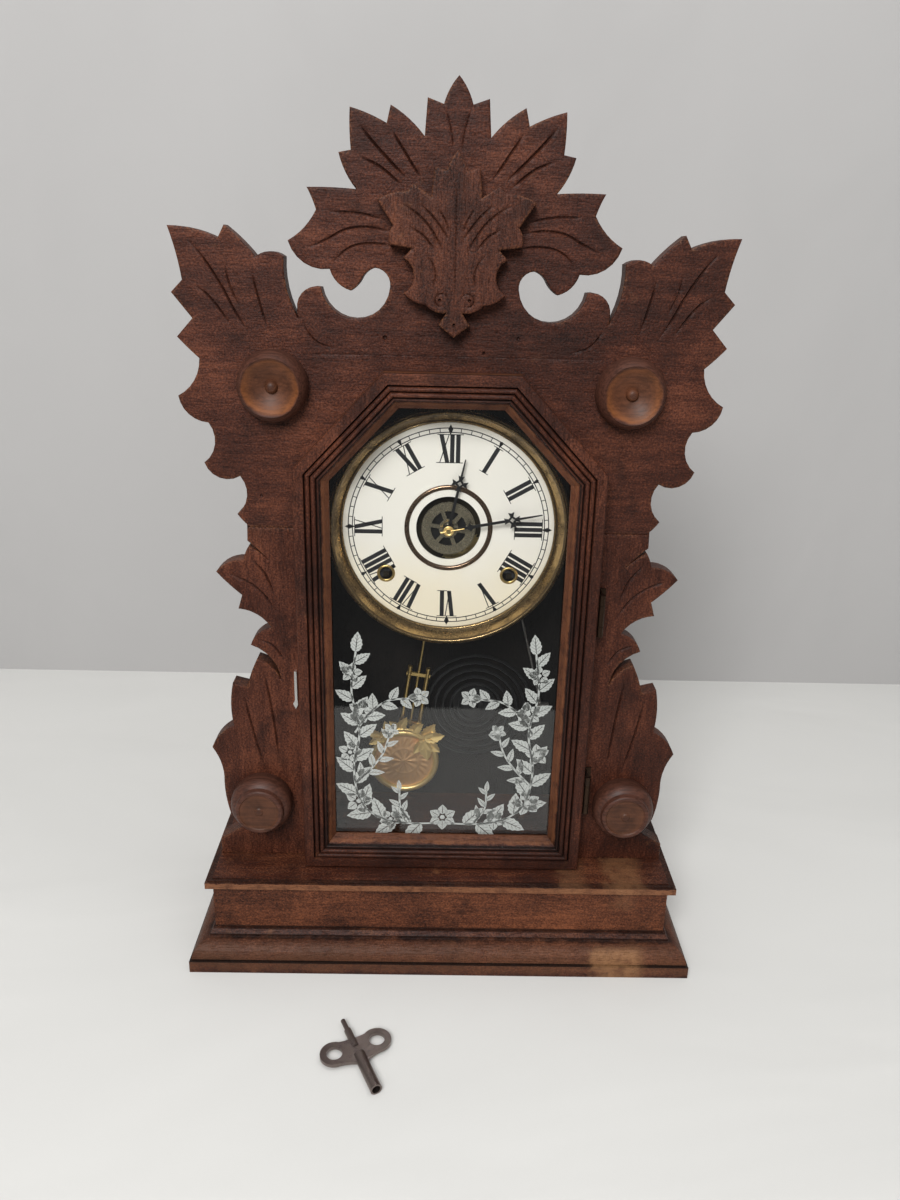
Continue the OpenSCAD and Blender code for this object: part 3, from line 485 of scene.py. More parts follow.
@dataclass
class Pile:
    """Vertices and faces of several surfaces gathered into one piece.

    Attributes:
        verts: blocks of vertices.
        faces: faces as vertex places.
        slots: material place of each face.
        spots: blocks of texture places.
        count: vertices so far.
    """

    verts: list[Array] = field(default_factory=list)
    faces: list[tuple[int, ...]] = field(default_factory=list)
    slots: list[int] = field(default_factory=list)
    spots: list[Array] = field(default_factory=list)
    count: int = 0

    def add(self, verts: Array, faces: Sequence[Sequence[int]], slot: int = 0,
            spots: Array | None = None) -> None:
        """Adds a surface.

        Args:
            verts: its vertices, in metres.
            faces: its faces, counted from its own first vertex.
            slot: place of its material.
            spots: texture places of the vertices, or none.
        """
        self.spots.append(np.zeros((len(verts), 2)) if spots is None else np.asarray(spots, float))
        base = self.count
        self.verts.append(np.asarray(verts, float))
        self.faces.extend(tuple(int(i) + base for i in f) for f in faces)
        self.slots.extend([slot] * len(faces))
        self.count += len(verts)

    def grid(self, points: Array, wrap_u: bool = False, wrap_v: bool = False, slot: int = 0,
             spots: Array | None = None) -> None:
        """Adds a grid surface of points with shape (u, v, 3).

        Args:
            points: the grid, in metres.
            wrap_u: joins the last row to the first.
            wrap_v: joins the last column to the first.
            slot: place of its material.
            spots: texture places of the points, or none.
        """
        nu, nv = points.shape[:2]
        u = np.arange(nu if wrap_u else nu - 1)
        v = np.arange(nv if wrap_v else nv - 1)
        a, b = np.meshgrid(u, v, indexing="ij")
        c, d = (a + 1) % nu, (b + 1) % nv
        faces = np.stack([a * nv + b, c * nv + b, c * nv + d, a * nv + d], -1).reshape(-1, 4)
        self.add(points.reshape(-1, 3), faces, slot, None if spots is None else spots.reshape(-1, 2))

    def fan(self, outline: Array, front: float, back: float) -> None:
        """Adds a thin flat plate in the plane of the dial.

        Args:
            outline: its corners as x and z, in millimetres.
            front: y of its front face, in millimetres.
            back: y of its back face, in millimetres.
        """
        n = len(outline)
        near = np.column_stack([outline[:, 0], np.full(n, front), outline[:, 1]]) * MM
        far = np.column_stack([outline[:, 0], np.full(n, back), outline[:, 1]]) * MM
        ring = [(i, (i + 1) % n, n + (i + 1) % n, n + i) for i in range(n)]
        tri = Outline(outline).triangles()
        faces = [tuple(t) for t in tri] + [tuple(n + i for i in t[::-1]) for t in tri] + ring
        self.add(np.vstack([near, far]), faces)

    def piece(self, name: str, body: str, materials: Sequence[bpy.types.Material], smooth: bool = True,
              replaces: Sequence[str] = ()) -> bpy.types.Object:
        """Makes the object.

        Args:
            name: name of the piece.
            body: body that it rides.
            materials: its materials.
            smooth: whether it is shaded smooth.
            replaces: solids that it stands for.

        Returns:
            The object.
        """
        mesh = bpy.data.meshes.new(name)
        mesh.from_pydata(np.vstack(self.verts).tolist(), [], self.faces)
        for material in materials:
            mesh.materials.append(material)
        mesh.polygons.foreach_set("material_index", self.slots)
        mesh.polygons.foreach_set("use_smooth", [smooth] * len(mesh.polygons))
        layer = mesh.uv_layers.new(name="spots")
        corner = np.zeros(len(mesh.loops), int)
        mesh.loops.foreach_get("vertex_index", corner)
        layer.data.foreach_set("uv", np.vstack(self.spots)[corner].ravel())
        mesh.update()
        obj = bpy.data.objects.new(name, mesh)
        bpy.context.scene.collection.objects.link(obj)
        turn_outward(mesh)
        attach(obj, body)
        if replaces:
            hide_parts(*replaces)
        LOG.info("piece %s: %d faces on %s", name, len(mesh.polygons), body)
        return obj


def turn_outward(mesh: bpy.types.Mesh) -> None:
    """Turns the normals of closed surfaces outward.

    Args:
        mesh: the mesh to turn.
    """
    work = bmesh.new()
    work.from_mesh(mesh)
    bmesh.ops.remove_doubles(work, verts=work.verts, dist=1e-7)
    bmesh.ops.recalc_face_normals(work, faces=work.faces)
    work.to_mesh(mesh)
    work.free()
    mesh.update()


class Outline:
    """A closed flat outline in millimetres."""

    def __init__(self, points: Array) -> None:
        """Keeps the corners.

        Args:
            points: the corners as x and z.
        """
        self.points = np.asarray(points, float)

    def dense(self, step: float) -> Array:
        """Returns the outline with edges no longer than step."""
        out = []
        for p, q in zip(self.points, np.roll(self.points, -1, 0)):
            n = max(1, math.ceil(float(np.hypot(*(q - p))) / step))
            out.append(p + (q - p) * np.arange(n)[:, None] / n)
        return np.vstack(out)

    def inside(self, at: Array) -> Array:
        """Tells which points lie inside, by crossings."""
        x, z = at[:, 0], at[:, 1]
        hit = np.zeros(len(at), bool)
        for (px, pz), (qx, qz) in zip(self.points, np.roll(self.points, -1, 0)):
            if pz == qz:
                continue
            cross = ((pz > z) != (qz > z)) & (x < (qx - px) * (z - pz) / (qz - pz) + px)
            hit ^= cross
        return hit

    def distance(self, at: Array) -> Array:
        """Returns the distance of points to the outline."""
        return line_distance(at, np.vstack([self.points, self.points[:1]]))

    def triangles(self) -> Array:
        """Returns triangles of the outline alone."""
        return self.filled()[1]

    def filled(self, extra: Array | None = None) -> tuple[Array, Array]:
        """Triangulates the outline with extra points inside.

        Args:
            extra: points inside, or none.

        Returns:
            All the points, and the triangles.
        """
        n = len(self.points)
        pts = self.points if extra is None else np.vstack([self.points, extra])
        edges = [(i, (i + 1) % n) for i in range(n)]
        got = delaunay_2d_cdt([Vector(p) for p in pts.tolist()], edges, [], 2, 1e-6)
        return np.array([tuple(v) for v in got[0]]), np.array([tuple(f) for f in got[2]], int)


def line_distance(at: Array, line: Array) -> Array:
    """Returns the distance of points to a polyline.

    Args:
        at: the points.
        line: corners of the polyline.
    """
    best = np.full(len(at), 1e9)
    for p, q in zip(line[:-1], line[1:]):
        d = q - p
        k = np.clip(((at - p) @ d) / max(float(d @ d), 1e-12), 0.0, 1.0)
        best = np.minimum(best, np.hypot(*(at - p - k[:, None] * d).T))
    return best


def curve(points: Sequence[Sequence[float]], count: int = 24) -> Array:
    """Returns a smooth curve through points, by the Catmull-Rom formula.

    Args:
        points: points of the curve.
        count: steps of each span.
    """
    p = np.asarray(points, float)
    if len(p) == 2:
        t = np.linspace(0, 1, count + 1)[:, None]
        return p[0] + (p[1] - p[0]) * t
    ends = np.vstack([2 * p[0] - p[1], p, 2 * p[-1] - p[-2]])
    t = np.linspace(0, 1, count, endpoint=False)[:, None]
    spans = []
    for i in range(len(p) - 1):
        a, b, c, d = ends[i:i + 4]
        spans.append(0.5 * (2 * b + (c - a) * t + (2 * a - 5 * b + 4 * c - d) * t ** 2
                            + (3 * b - a - 3 * c + d) * t ** 3))
    return np.vstack(spans + [p[-1:]])


def lathe(profile: Array, x: float, y: float, z: float, steps: int = 96) -> Array:
    """Returns a surface turned about a line along Y.

    The point at angle a has x + r cos a, y - f and z + r sin a, for radius r and front distance f.

    Args:
        profile: rows of radius and distance to the front, in millimetres.
        x: place of the axis.
        y: y at front distance zero.
        z: height of the axis.
        steps: points round.
    """
    a = np.linspace(0, 2 * np.pi, steps, endpoint=False)
    r, f = profile[:, 0][:, None], profile[:, 1][:, None]
    return np.stack([x + r * np.cos(a), y - f + 0 * a, z + r * np.sin(a)], -1) * MM


def tube(path: Array, radius: Array | float, sides: int = 10) -> Array:
    """Returns a tube along a path: a circle square to the path at each of its points.

    Args:
        path: points in millimetres.
        radius: radius, or one for each point.
        sides: points round.
    """
    path = np.asarray(path, float)
    along = np.gradient(path, axis=0)
    along /= np.linalg.norm(along, axis=1)[:, None]
    ref = np.where(np.abs(along[:, 1:2]) > 0.9, [[1.0, 0.0, 0.0]], [[0.0, 1.0, 0.0]])
    u = np.cross(along, ref)
    u /= np.linalg.norm(u, axis=1)[:, None]
    v = np.cross(along, u)
    a = np.linspace(0, 2 * np.pi, sides, endpoint=False)
    r = np.broadcast_to(np.asarray(radius, float), len(path))[:, None, None]
    ring = u[:, None] * np.cos(a)[:, None] + v[:, None] * np.sin(a)[:, None]
    return (path[:, None] + r * ring) * MM


def left_of(line: Array) -> Array:
    """Returns the direction to the left of a line at each of its points: (-v, u) for a unit step (u, v).

    Args:
        line: the line as x and z.
    """
    along = np.gradient(line, axis=0)
    along /= np.linalg.norm(along, axis=1)[:, None]
    return np.column_stack([-along[:, 1], along[:, 0]])


def evened(line: Array, step: float) -> Array:
    """Returns a line with points spaced evenly along it.

    Args:
        line: the line.
        step: about the spacing of the points.
    """
    run = np.concatenate([[0.0], np.cumsum(np.linalg.norm(np.diff(line, axis=0), axis=1))])
    at = np.linspace(0.0, run[-1], max(2, int(run[-1] / step)) + 1)
    return np.column_stack([np.interp(at, run, column) for column in line.T])


@dataclass(frozen=True)
class Groove:
    """A V-cut line of the carving.

    Attributes:
        points: places that the cut runs through, as x and z in millimetres.
        width: half width of the cut at its middle.
        depth: depth of the cut at its middle.
        both: whether the cut is repeated on the other side of the centre line.
    """

    points: tuple[tuple[float, float], ...]
    width: float = 0.9
    depth: float = 1.0
    both: bool = True

    def traces(self) -> list[Array]:
        """Returns the cut as one or two smooth lines."""
        line = evened(curve(self.points, 30), 1.0)
        return [line, line * (-1.0, 1.0)] if self.both else [line]


@dataclass
class CarvedBoard:
    """A flat sawn board with rounded edges, V-cut veins and dents.

    The front is the outline of the solid filled with triangles. A point at distance e from the edge
    sinks by r - sqrt(r^2 - (r - e)^2) for e below r. A point at distance d from a cut sinks by
    depth (1 - d / width) times a taper that falls to nothing at both ends of the cut.

    Attributes:
        node: solid that the board stands for.
        material: its finish.
        grooves: its cuts.
        dents: small round holes, as x, z, radius and depth.
        edge: radius of its edge.
        step: spacing of the points of the front.
        skin: depth of the front that is marked for the finish.
        full: depth of cut that counts as wholly cut.
        rubbed: width of the rubbed edge.
    """

    node: str
    material: bpy.types.Material
    grooves: Sequence[Groove] = ()
    dents: Sequence[tuple[float, float, float, float]] = ()
    edge: float = 0.75
    step: float = 2.2
    skin: float = 3.0
    full: float = 0.6
    rubbed: float = 1.5

    def loop(self) -> tuple[Array, float, float]:
        """Reads the outline of the front face of the solid.

        Returns:
            The corners in order as x and z, and y of the front and the back, all in millimetres.
        """
        mesh = frame["nodes"][self.node].data
        at = np.array([tuple(v.co) for v in mesh.vertices]) / MM
        front, back = float(at[:, 1].min()), float(at[:, 1].max())
        used: dict[tuple, tuple] = {}
        for face in mesh.polygons:
            if np.abs(at[list(face.vertices), 1] - front).max() > 0.01:
                continue
            keys = [tuple(np.round(at[i, [0, 2]], 3)) for i in face.vertices]
            for a, b in zip(keys, keys[1:] + keys[:1]):
                if (b, a) in used:
                    del used[(b, a)]
                else:
                    used[(a, b)] = b
        after = {a: b for a, b in used}
        chain = [next(iter(after))]
        while after[chain[-1]] != chain[0]:
            chain.append(after[chain[-1]])
        return np.array(chain), front, back

    def rows(self, line: Array, offsets: Sequence[float]) -> Array:
        """Returns points beside a line at several offsets.

        Args:
            line: the line.
            offsets: distances to its left.
        """
        side = left_of(line)
        return np.vstack([line + side * o for o in offsets])

    def cut(self, at: Array) -> Array:
        """Returns how far each point is cut below the flat front, in millimetres."""
        deep = np.zeros(len(at))
        for groove in self.grooves:
            for line in groove.traces():
                gap = np.linalg.norm(at[:, None] - line[None], axis=2)
                near = gap.argmin(1)
                along = near / (len(line) - 1)
                taper = np.minimum(1.0, 3.6 * np.minimum(along, 1.0 - along) + 0.12)
                shape = np.clip(1.0 - gap[np.arange(len(at)), near] / groove.width, 0.0, 1.0)
                deep = np.maximum(deep, groove.depth * taper * shape)
        for x, z, r, depth in self.dents:
            gap = np.hypot(at[:, 0] - x, at[:, 1] - z) / r
            deep = np.maximum(deep, depth * np.clip(1.15 - gap ** 2, 0.0, 1.0))
        return deep

    def inner(self, rim: Outline) -> Array:
        """Returns the points within the front: an even field, and rows beside the edge, cuts and dents.

        Args:
            rim: outline of the front.
        """
        row, margin, cell = self.step * 0.87, 0.16 * self.edge, 0.28
        lo, hi = rim.points.min(0), rim.points.max(0)
        x, z = np.meshgrid(np.arange(lo[0], hi[0], self.step), np.arange(lo[1], hi[1], row))
        x = x + self.step * 0.5 * (np.arange(len(x)) % 2)[:, None]
        extra = [np.column_stack([x.ravel(), z.ravel()])]
        loop = np.vstack([rim.points, rim.points[:1]])
        extra.append(self.rows(loop, [s * k * self.edge for s in (-1, 1) for k in (0.18, 0.5, 1.0)]))
        for groove in self.grooves:
            k = groove.width
            for line in groove.traces():
                extra.append(self.rows(line, (-1.05 * k, -0.5 * k, 0.0, 0.5 * k, 1.05 * k)))
        for dx, dz, r, _ in self.dents:
            a = np.linspace(0, 2 * np.pi, 10, endpoint=False)
            ring = np.column_stack([np.cos(a), np.sin(a)])
            extra.extend((dx, dz) + ring * r * k for k in (0.0001, 0.5, 1.07))
        points = np.vstack(extra)
        points = points[rim.inside(points)]
        points = points[rim.distance(points) > margin]
        return points[np.unique(np.round(points / cell).astype(int), axis=0, return_index=True)[1]]

    def build(self) -> None:
        """Builds the board in place of its solid."""
        corners, front, back = self.loop()
        rim = Outline(Outline(corners).dense(self.step))
        flat, faces = rim.filled(self.inner(rim))
        gap = np.minimum(rim.distance(flat), self.edge)
        sink = self.edge - np.sqrt(np.maximum(self.edge ** 2 - (self.edge - gap) ** 2, 0.0))
        y = front + np.maximum(sink, self.cut(flat))
        pile = Pile()
        pile.add(np.column_stack([flat[:, 0], y, flat[:, 1]]) * MM, faces)
        n = len(rim.points)
        wall = np.stack([np.column_stack([rim.points[:, 0], np.full(n, v), rim.points[:, 1]])
                         for v in (front + self.edge, back)])
        pile.grid(wall * MM, wrap_v=True)
        pile.add(wall[1] * MM, rim.triangles())
        obj = pile.piece("carved_" + self.node, "case", [self.material], replaces=[self.node])
        sharpen(obj)
        self.mark(obj.data, rim, front)

    def mark(self, mesh: bpy.types.Mesh, rim: Outline, front: float) -> None:
        """Keeps how deep each point is cut and how near the edge it lies, for the finish.

        Args:
            mesh: the board.
            rim: its outline.
            front: y of its flat front.
        """
        at = np.zeros(len(mesh.vertices) * 3)
        mesh.vertices.foreach_get("co", at)
        at = at.reshape(-1, 3) / MM
        near = at[:, 1] < front + self.skin
        deep = np.clip(self.cut(at[:, [0, 2]]) / self.full, 0.0, 1.0) * near
        edge = np.clip(1.0 - rim.distance(at[:, [0, 2]]) / self.rubbed, 0.0, 1.0) * near
        for name, values in (("cut", deep), ("rim", edge)):
            mesh.attributes.new(name, "FLOAT", "POINT").data.foreach_set("value", values.astype(np.float32))


def sharpen(obj: bpy.types.Object, angle: float = 38.0) -> None:
    """Keeps edges sharper than an angle crisp under smooth shading.

    Args:
        obj: the piece.
        angle: the angle in degrees.
    """
    obj.data.set_sharp_from_angle(angle=math.radians(angle))


@dataclass
class Carving:
    """The fretted and carved front: crest, applied ornament and lower boards.

    Attributes:
        grain: finish of the crest.
        upright: finish of the lower boards.
        leaf: finish of the applied leaf.
    """

    grain: bpy.types.Material
    upright: bpy.types.Material
    leaf: bpy.types.Material

    def crest(self) -> None:
        """Builds the crest board with the veins of its leaves and ears."""
        cuts = [
            Groove(((-54, 534), (-46, 525), (-38, 517), (-28, 507.5)), 0.92, 1.4),
            Groove(((-36, 531), (-30, 522.5), (-25, 515), (-20, 508)), 0.84, 1.2),
            Groove(((-53.5, 517.5), (-45, 514.5), (-38, 510), (-31, 504)), 0.84, 1.2),
            Groove(((-7, 543), (-4.5, 535), (-3, 528), (-2.5, 522)), 0.61, 0.5),
            Groove(((-71, 489.5), (-58, 489.5), (-48, 488), (-40, 486)), 0.78, 1.0),
            Groove(((-83, 470.5), (-72, 475.5), (-62, 480.5), (-50, 482), (-36, 480)), 0.80, 1.1),
            Groove(((-69, 463), (-63, 469), (-56, 472.5), (-46, 473.5), (-33, 472)), 0.74, 1.0),
            Groove(((-150, 472), (-144, 465), (-139, 458), (-133, 448), (-127, 436), (-120, 424)),
                   0.80, 1.1),
            Groove(((-148, 448), (-142, 444), (-136, 437), (-130, 428)), 0.74, 1.0),
            Groove(((-116, 457), (-114, 448), (-112, 440), (-109, 428)), 0.74, 0.95),
            Groove(((-131, 460), (-129, 450), (-124, 438)), 0.75, 0.7),
            Groove(((-87, 428), (-83, 422), (-78, 418), (-70, 415.5)), 0.75, 0.8),
            Groove(((-92, 412), (92, 412)), 0.48, 0.5, both=False),
        ]
        dents = [(-40, 422, 1.4, 1.2), (38, 423, 1.2, 1.0), (18, 414.5, 0.9, 1.2), (-116, 326, 1.1, 0.7)]
        CarvedBoard("crest_board", self.grain, cuts, dents).build()

    def ornament(self) -> None:
        """Builds the applied leaf with its veins and scroll eyes."""
        a = np.linspace(0.2, 5.2, 8)
        eye = tuple((-7.4 + 3.6 * math.cos(t), 444.0 + 3.6 * math.sin(t)) for t in a)
        cuts = [
            Groove(((-30, 494), (-22, 489.5), (-15, 483), (-9, 474), (-7, 469)), 0.82, 1.0),
            Groove(((-20, 494), (-14, 489), (-8, 482), (-4, 476)), 0.75, 0.9),
            Groove(((-10, 492), (-6, 486), (-4, 480)), 0.68, 0.7),
            Groove(((-25, 482), (-18, 478), (-12, 471)), 0.75, 0.9),
            Groove(((-17, 468), (-13, 464), (-11, 458), (-12, 450)), 0.68, 0.6),
            Groove(eye, 0.6, 0.6),
            Groove(((0, 512), (0, 476), (0, 442)), 0.48, 0.35, both=False),
        ]
        dents = [(-8.5, 444, 1.0, 1.6), (8.5, 444, 1.0, 1.6), (0, 430.6, 0.9, 1.4)]
        CarvedBoard("crest_ornament", self.leaf, cuts, dents, edge=0.9, step=1.6).build()

    def lower(self, side: int) -> None:
        """Builds a lower front board.

        Args:
            side: minus one for the left, one for the right.
        """
        lines = (
            ((140, 275), (128, 270), (118, 262), (110, 250)),
            ((124, 285), (116, 275), (111, 262)),
            ((122, 230), (113, 226), (106, 216)),
            ((134, 192), (131, 175), (127, 155), (122, 135)),
            ((120, 208), (117, 190), (114, 165), (112, 140)),
        )
        cuts = [Groove(tuple((side * x, z) for x, z in line), 0.9, 1.0, both=False) for line in lines]
        name = "left_front_board" if side < 0 else "right_front_board"
        CarvedBoard(name, self.upright, cuts).build()

    def build(self) -> None:
        """Builds all the boards."""
        self.crest()
        self.ornament()
        self.lower(-1)
        self.lower(1)


class Stroke(Enum):
    """The two weights of a printed line, as its width in millimetres."""

    HEAVY = 2.75
    LIGHT = 0.62


@dataclass
class Dial:
    """The printed dial: numerals, minute track and hour marks on ivory paper.

    A numeral is laid out along a line square to the radius at its hour. The point u clockwise and r
    outwards at clock angle a lies at x = u cos a + r sin a and z = r cos a - u sin a from the centre.

    Attributes:
        ink: finish of the print.
        inner: radius of the feet of the numerals.
        outer: radius of their heads.
        track: radii of the two circles of the minute track.
        lift: height of the print above the paper.
        sink: depth of its back in the paper.
        serif: half height of a serif bar.
        tick: half width of a minute mark.
    """

    ink: bpy.types.Material
    inner: float = 43.0
    outer: float = 60.9
    track: tuple[float, float] = (62.3, 65.0)
    lift: float = 0.06
    sink: float = 0.01
    serif: float = 0.24
    tick: float = 0.25

    def __post_init__(self) -> None:
        """Finds the middle of the dial and its face from the solid."""
        low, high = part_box("dial_face")
        self.z = (low.z + high.z) / 2 / MM
        self.y = low.y / MM
        self.pile = Pile()

    def spot(self, hour: float, u: float, r: float) -> tuple[float, float]:
        """Returns the place of a point of the print.

        Args:
            hour: hour whose line it is measured from.
            u: distance clockwise.
            r: distance from the centre.
        """
        a = math.radians(30.0 * hour)
        return u * math.cos(a) + r * math.sin(a), self.z + r * math.cos(a) - u * math.sin(a)

    def plate(self, hour: float, corners: Sequence[tuple[float, float]]) -> None:
        """Prints a flat shape.

        Args:
            hour: hour whose line it is measured from.
            corners: its corners as distance clockwise and distance from the centre.
        """
        outline = np.array([self.spot(hour, u, r) for u, r in corners])
        self.pile.fan(outline, self.y - self.lift, self.y + self.sink)

    def stroke(self, hour: int, foot: float, head: float, weight: Stroke) -> None:
        """Prints one stroke of a numeral.

        Args:
            hour: the hour.
            foot: place of its foot.
            head: place of its head.
            weight: its weight.
        """
        k = weight.value / 2
        self.plate(hour, [(foot - k, self.inner), (foot + k, self.inner), (head + k, self.outer),
                          (head - k, self.outer)])

    def bar(self, hour: int, left: float, right: float, r: float) -> None:
        """Prints a serif bar.

        Args:
            hour: the hour.
            left: its left end.
            right: its right end.
            r: its radius.
        """
        low, high = r - self.serif, r + self.serif
        self.plate(hour, [(left, low), (right, low), (right, high), (left, high)])

    def numeral(self, hour: int, letters: str) -> None:
        """Prints a numeral.

        Args:
            hour: the hour.
            letters: its letters.
        """
        wide = {"I": 3.75, "V": 6.6, "X": 6.2}
        total = sum(wide[c] for c in letters)
        at = -total / 2
        feet = []
        for letter in letters:
            mid = at + wide[letter] / 2
            if letter == "I":
                self.stroke(hour, mid, mid, Stroke.HEAVY)
                feet.append((mid - 1.4, mid + 1.4))
            elif letter == "V":
                self.stroke(hour, mid + 0.6, mid - 1.6, Stroke.HEAVY)
                self.stroke(hour, mid + 0.3, mid + 2.8, Stroke.LIGHT)
            else:
                self.stroke(hour, mid + 2.0, mid - 2.0, Stroke.HEAVY)
                self.stroke(hour, mid - 2.8, mid + 2.8, Stroke.LIGHT)
                feet.append((mid - 3.2, mid + 3.4))
            at += wide[letter]
        self.bar(hour, -total / 2 - 1.5, total / 2 + 1.5, self.outer)
        if feet:
            self.bar(hour, min(f[0] for f in feet) - 1.8, max(f[1] for f in feet) + 1.8, self.inner)

    def ring(self, r: float, wide: float) -> None:
        """Prints a circle.

        Args:
            r: its radius.
            wide: width of its line.
        """
        near, far = r - wide / 2, r + wide / 2
        profile = np.array([(near, -self.sink), (far, -self.sink), (far, self.lift), (near, self.lift)])
        self.pile.grid(lathe(profile, 0.0, self.y, self.z, 240), wrap_u=True, wrap_v=True)

    def build(self) -> None:
        """Prints the dial."""
        names = ("I", "II", "III", "IIII", "V", "VI", "VII", "VIII", "IX", "X", "XI", "XII")
        low, high = self.track
        r = sum(self.track) / 2
        for hour, letters in enumerate(names, 1):
            self.numeral(hour, letters)
            half, waist, foot, head = (1.4, 1.2, 2.8, 2.0) if hour % 3 else (1.6, 0.6, 3.2, 3.6)
            self.plate(hour, [(-half, r + waist), (0, r - foot), (half, r + waist), (0, r + head)])
        for minute in range(60):
            corners = [(-self.tick, low), (self.tick, low), (self.tick, high), (-self.tick, high)]
            self.plate(minute / 5, corners)
        for circle in self.track:
            self.ring(circle, Stroke.LIGHT.value)
        self.pile.piece("dial_print", "case", [self.ink], smooth=False)


@dataclass(frozen=True)
class DialPaper:
    """Ivory paper that is yellower below the centre and soiled near its rim.

    Attributes:
        name: name of the material.
        z: height of the centre in millimetres.
        fresh: colour above the centre.
        aged: colour below it.
    """

    name: str
    z: float
    fresh: Colour = (0.875, 0.835, 0.765)
    aged: Colour = (0.89, 0.78, 0.575)

    def make(self) -> bpy.types.Material:
        """Returns the material."""
        g = Graph(self.name)
        x, _, z = g.axes()
        cloud = g.noise(g.place(), 22.0, 3.0, 0.5)
        age = (self.z - z + (cloud - 0.5) * 60.0).band(0.0, 60.0)
        reach = g.radius(x, z - self.z)
        rim = (reach + (g.noise(g.place(), 90.0, 4.0) - 0.5) * 6.0).band(62.0, 71.0, 0.0, 0.30)
        specks = g.noise(g.place(), 750.0, 2.0, 0.6).band(0.70, 0.80, 0.0, 0.25)
        base = g.mix(age * 0.75, self.fresh, self.aged)
        base = g.mix(rim, base, (0.42, 0.33, 0.20))
        base = g.mix(specks, base, (0.36, 0.27, 0.17))
        g.bump(g.noise(g.place(), 1500.0, 2.0), 0.06, 0.0001)
        return g.surface(Base_Color=base, Roughness=cloud * 0.15 + 0.42)


@dataclass
class Leaf:
    """A leaf with a fold along its middle, as a grid of points.

    The point at t along and s across lies at base + t L a + s w(t) b, where w(t) = W sin(pi t^p)^q,
    and it is lifted by fold |s| w + curl t^2 towards the front. Teeth cut w by notch |sin(n pi t)|.

    Attributes:
        base: place of its foot as x, y and z in millimetres.
        turn: direction of its tip from straight up, clockwise in degrees.
        long: its length.
        wide: its half width.
        fold: rise of its edges for each millimetre from the middle.
        curl: how far its tip bends to the front.
        notch: depth of the teeth of its edge, as a share of the width.
        thick: its thickness.
    """

    base: tuple[float, float, float]
    turn: float
    long: float
    wide: float
    fold: float = 0.0
    curl: float = 0.0
    notch: float = 0.0
    thick: float = 0.4

    def add(self, pile: Pile, slot: int = 0, steps: int = 22) -> None:
        """Adds the leaf to a pile as a closed shell.

        Args:
            pile: the pile.
            slot: place of its material.
            steps: steps along it.
        """
        p, q, n, least = 0.72, 0.9, 5.0, 0.05
        t = np.linspace(0.0, 1.0, steps)[:, None]
        s = np.linspace(-1.0, 1.0, 9)[None]
        width = self.wide * np.sin(np.pi * t ** p) ** q + least
        width = width * (1.0 - self.notch * np.abs(np.sin(t * np.pi * n)) * (t > 0.1))
        a = math.radians(self.turn)
        x = self.base[0] + t * self.long * math.sin(a) + s * width * math.cos(a)
        z = self.base[2] + t * self.long * math.cos(a) - s * width * math.sin(a)
        y = self.base[1] - self.fold * np.abs(s) * width - self.curl * t ** 2 + 0 * s
        front = np.stack([x, y, z], -1) * MM
        back = np.stack([x, y + self.thick, z], -1) * MM
        loop = np.concatenate([front, back[:, ::-1]], 1)
        spot = np.stack([t + 0 * s, s + 0 * t], -1)
        pile.grid(loop, wrap_v=True, slot=slot, spots=np.concatenate([spot, spot[:, ::-1]], 1))
        for end in (0, steps - 1):
            pile.add(loop[end], [tuple(range(loop.shape[1]))], slot)


@dataclass
class Blossom:
    """A five-petalled flower made of leaves round a button.

    Attributes:
        centre: its middle as x, y and z in millimetres.
        reach: length of a petal.
        turn: turn of the first petal in degrees.
        petals: number of petals.
        fold: rise of the edges of the petals.
        thick: thickness of the petals.
    """

    centre: tuple[float, float, float]
    reach: float
    turn: float = 0.0
    petals: int = 5
    fold: float = 0.0
    thick: float = 0.4

    def add(self, pile: Pile, slot: int = 0) -> None:
        """Adds the flower to a pile.

        Args:
            pile: the pile.
            slot: place of its material.
        """
        for i in range(self.petals):
            turn = self.turn + 360.0 * i / self.petals
            a = math.radians(turn)
            k = self.reach * 0.26
            foot = (self.centre[0] + k * math.sin(a), self.centre[1], self.centre[2] + k * math.cos(a))
            petal = Leaf(foot, turn, self.reach * 0.74, self.reach * 0.33, self.fold, thick=self.thick)
            petal.add(pile, slot, 14)
        dome = np.array([(self.reach * 0.17, 0.0), (self.reach * 0.15, self.thick),
                         (0.001, self.thick * 1.6)])
        x, y, z = self.centre
        pile.grid(lathe(dome, x, y + self.thick, z, 16), wrap_v=True, slot=slot)


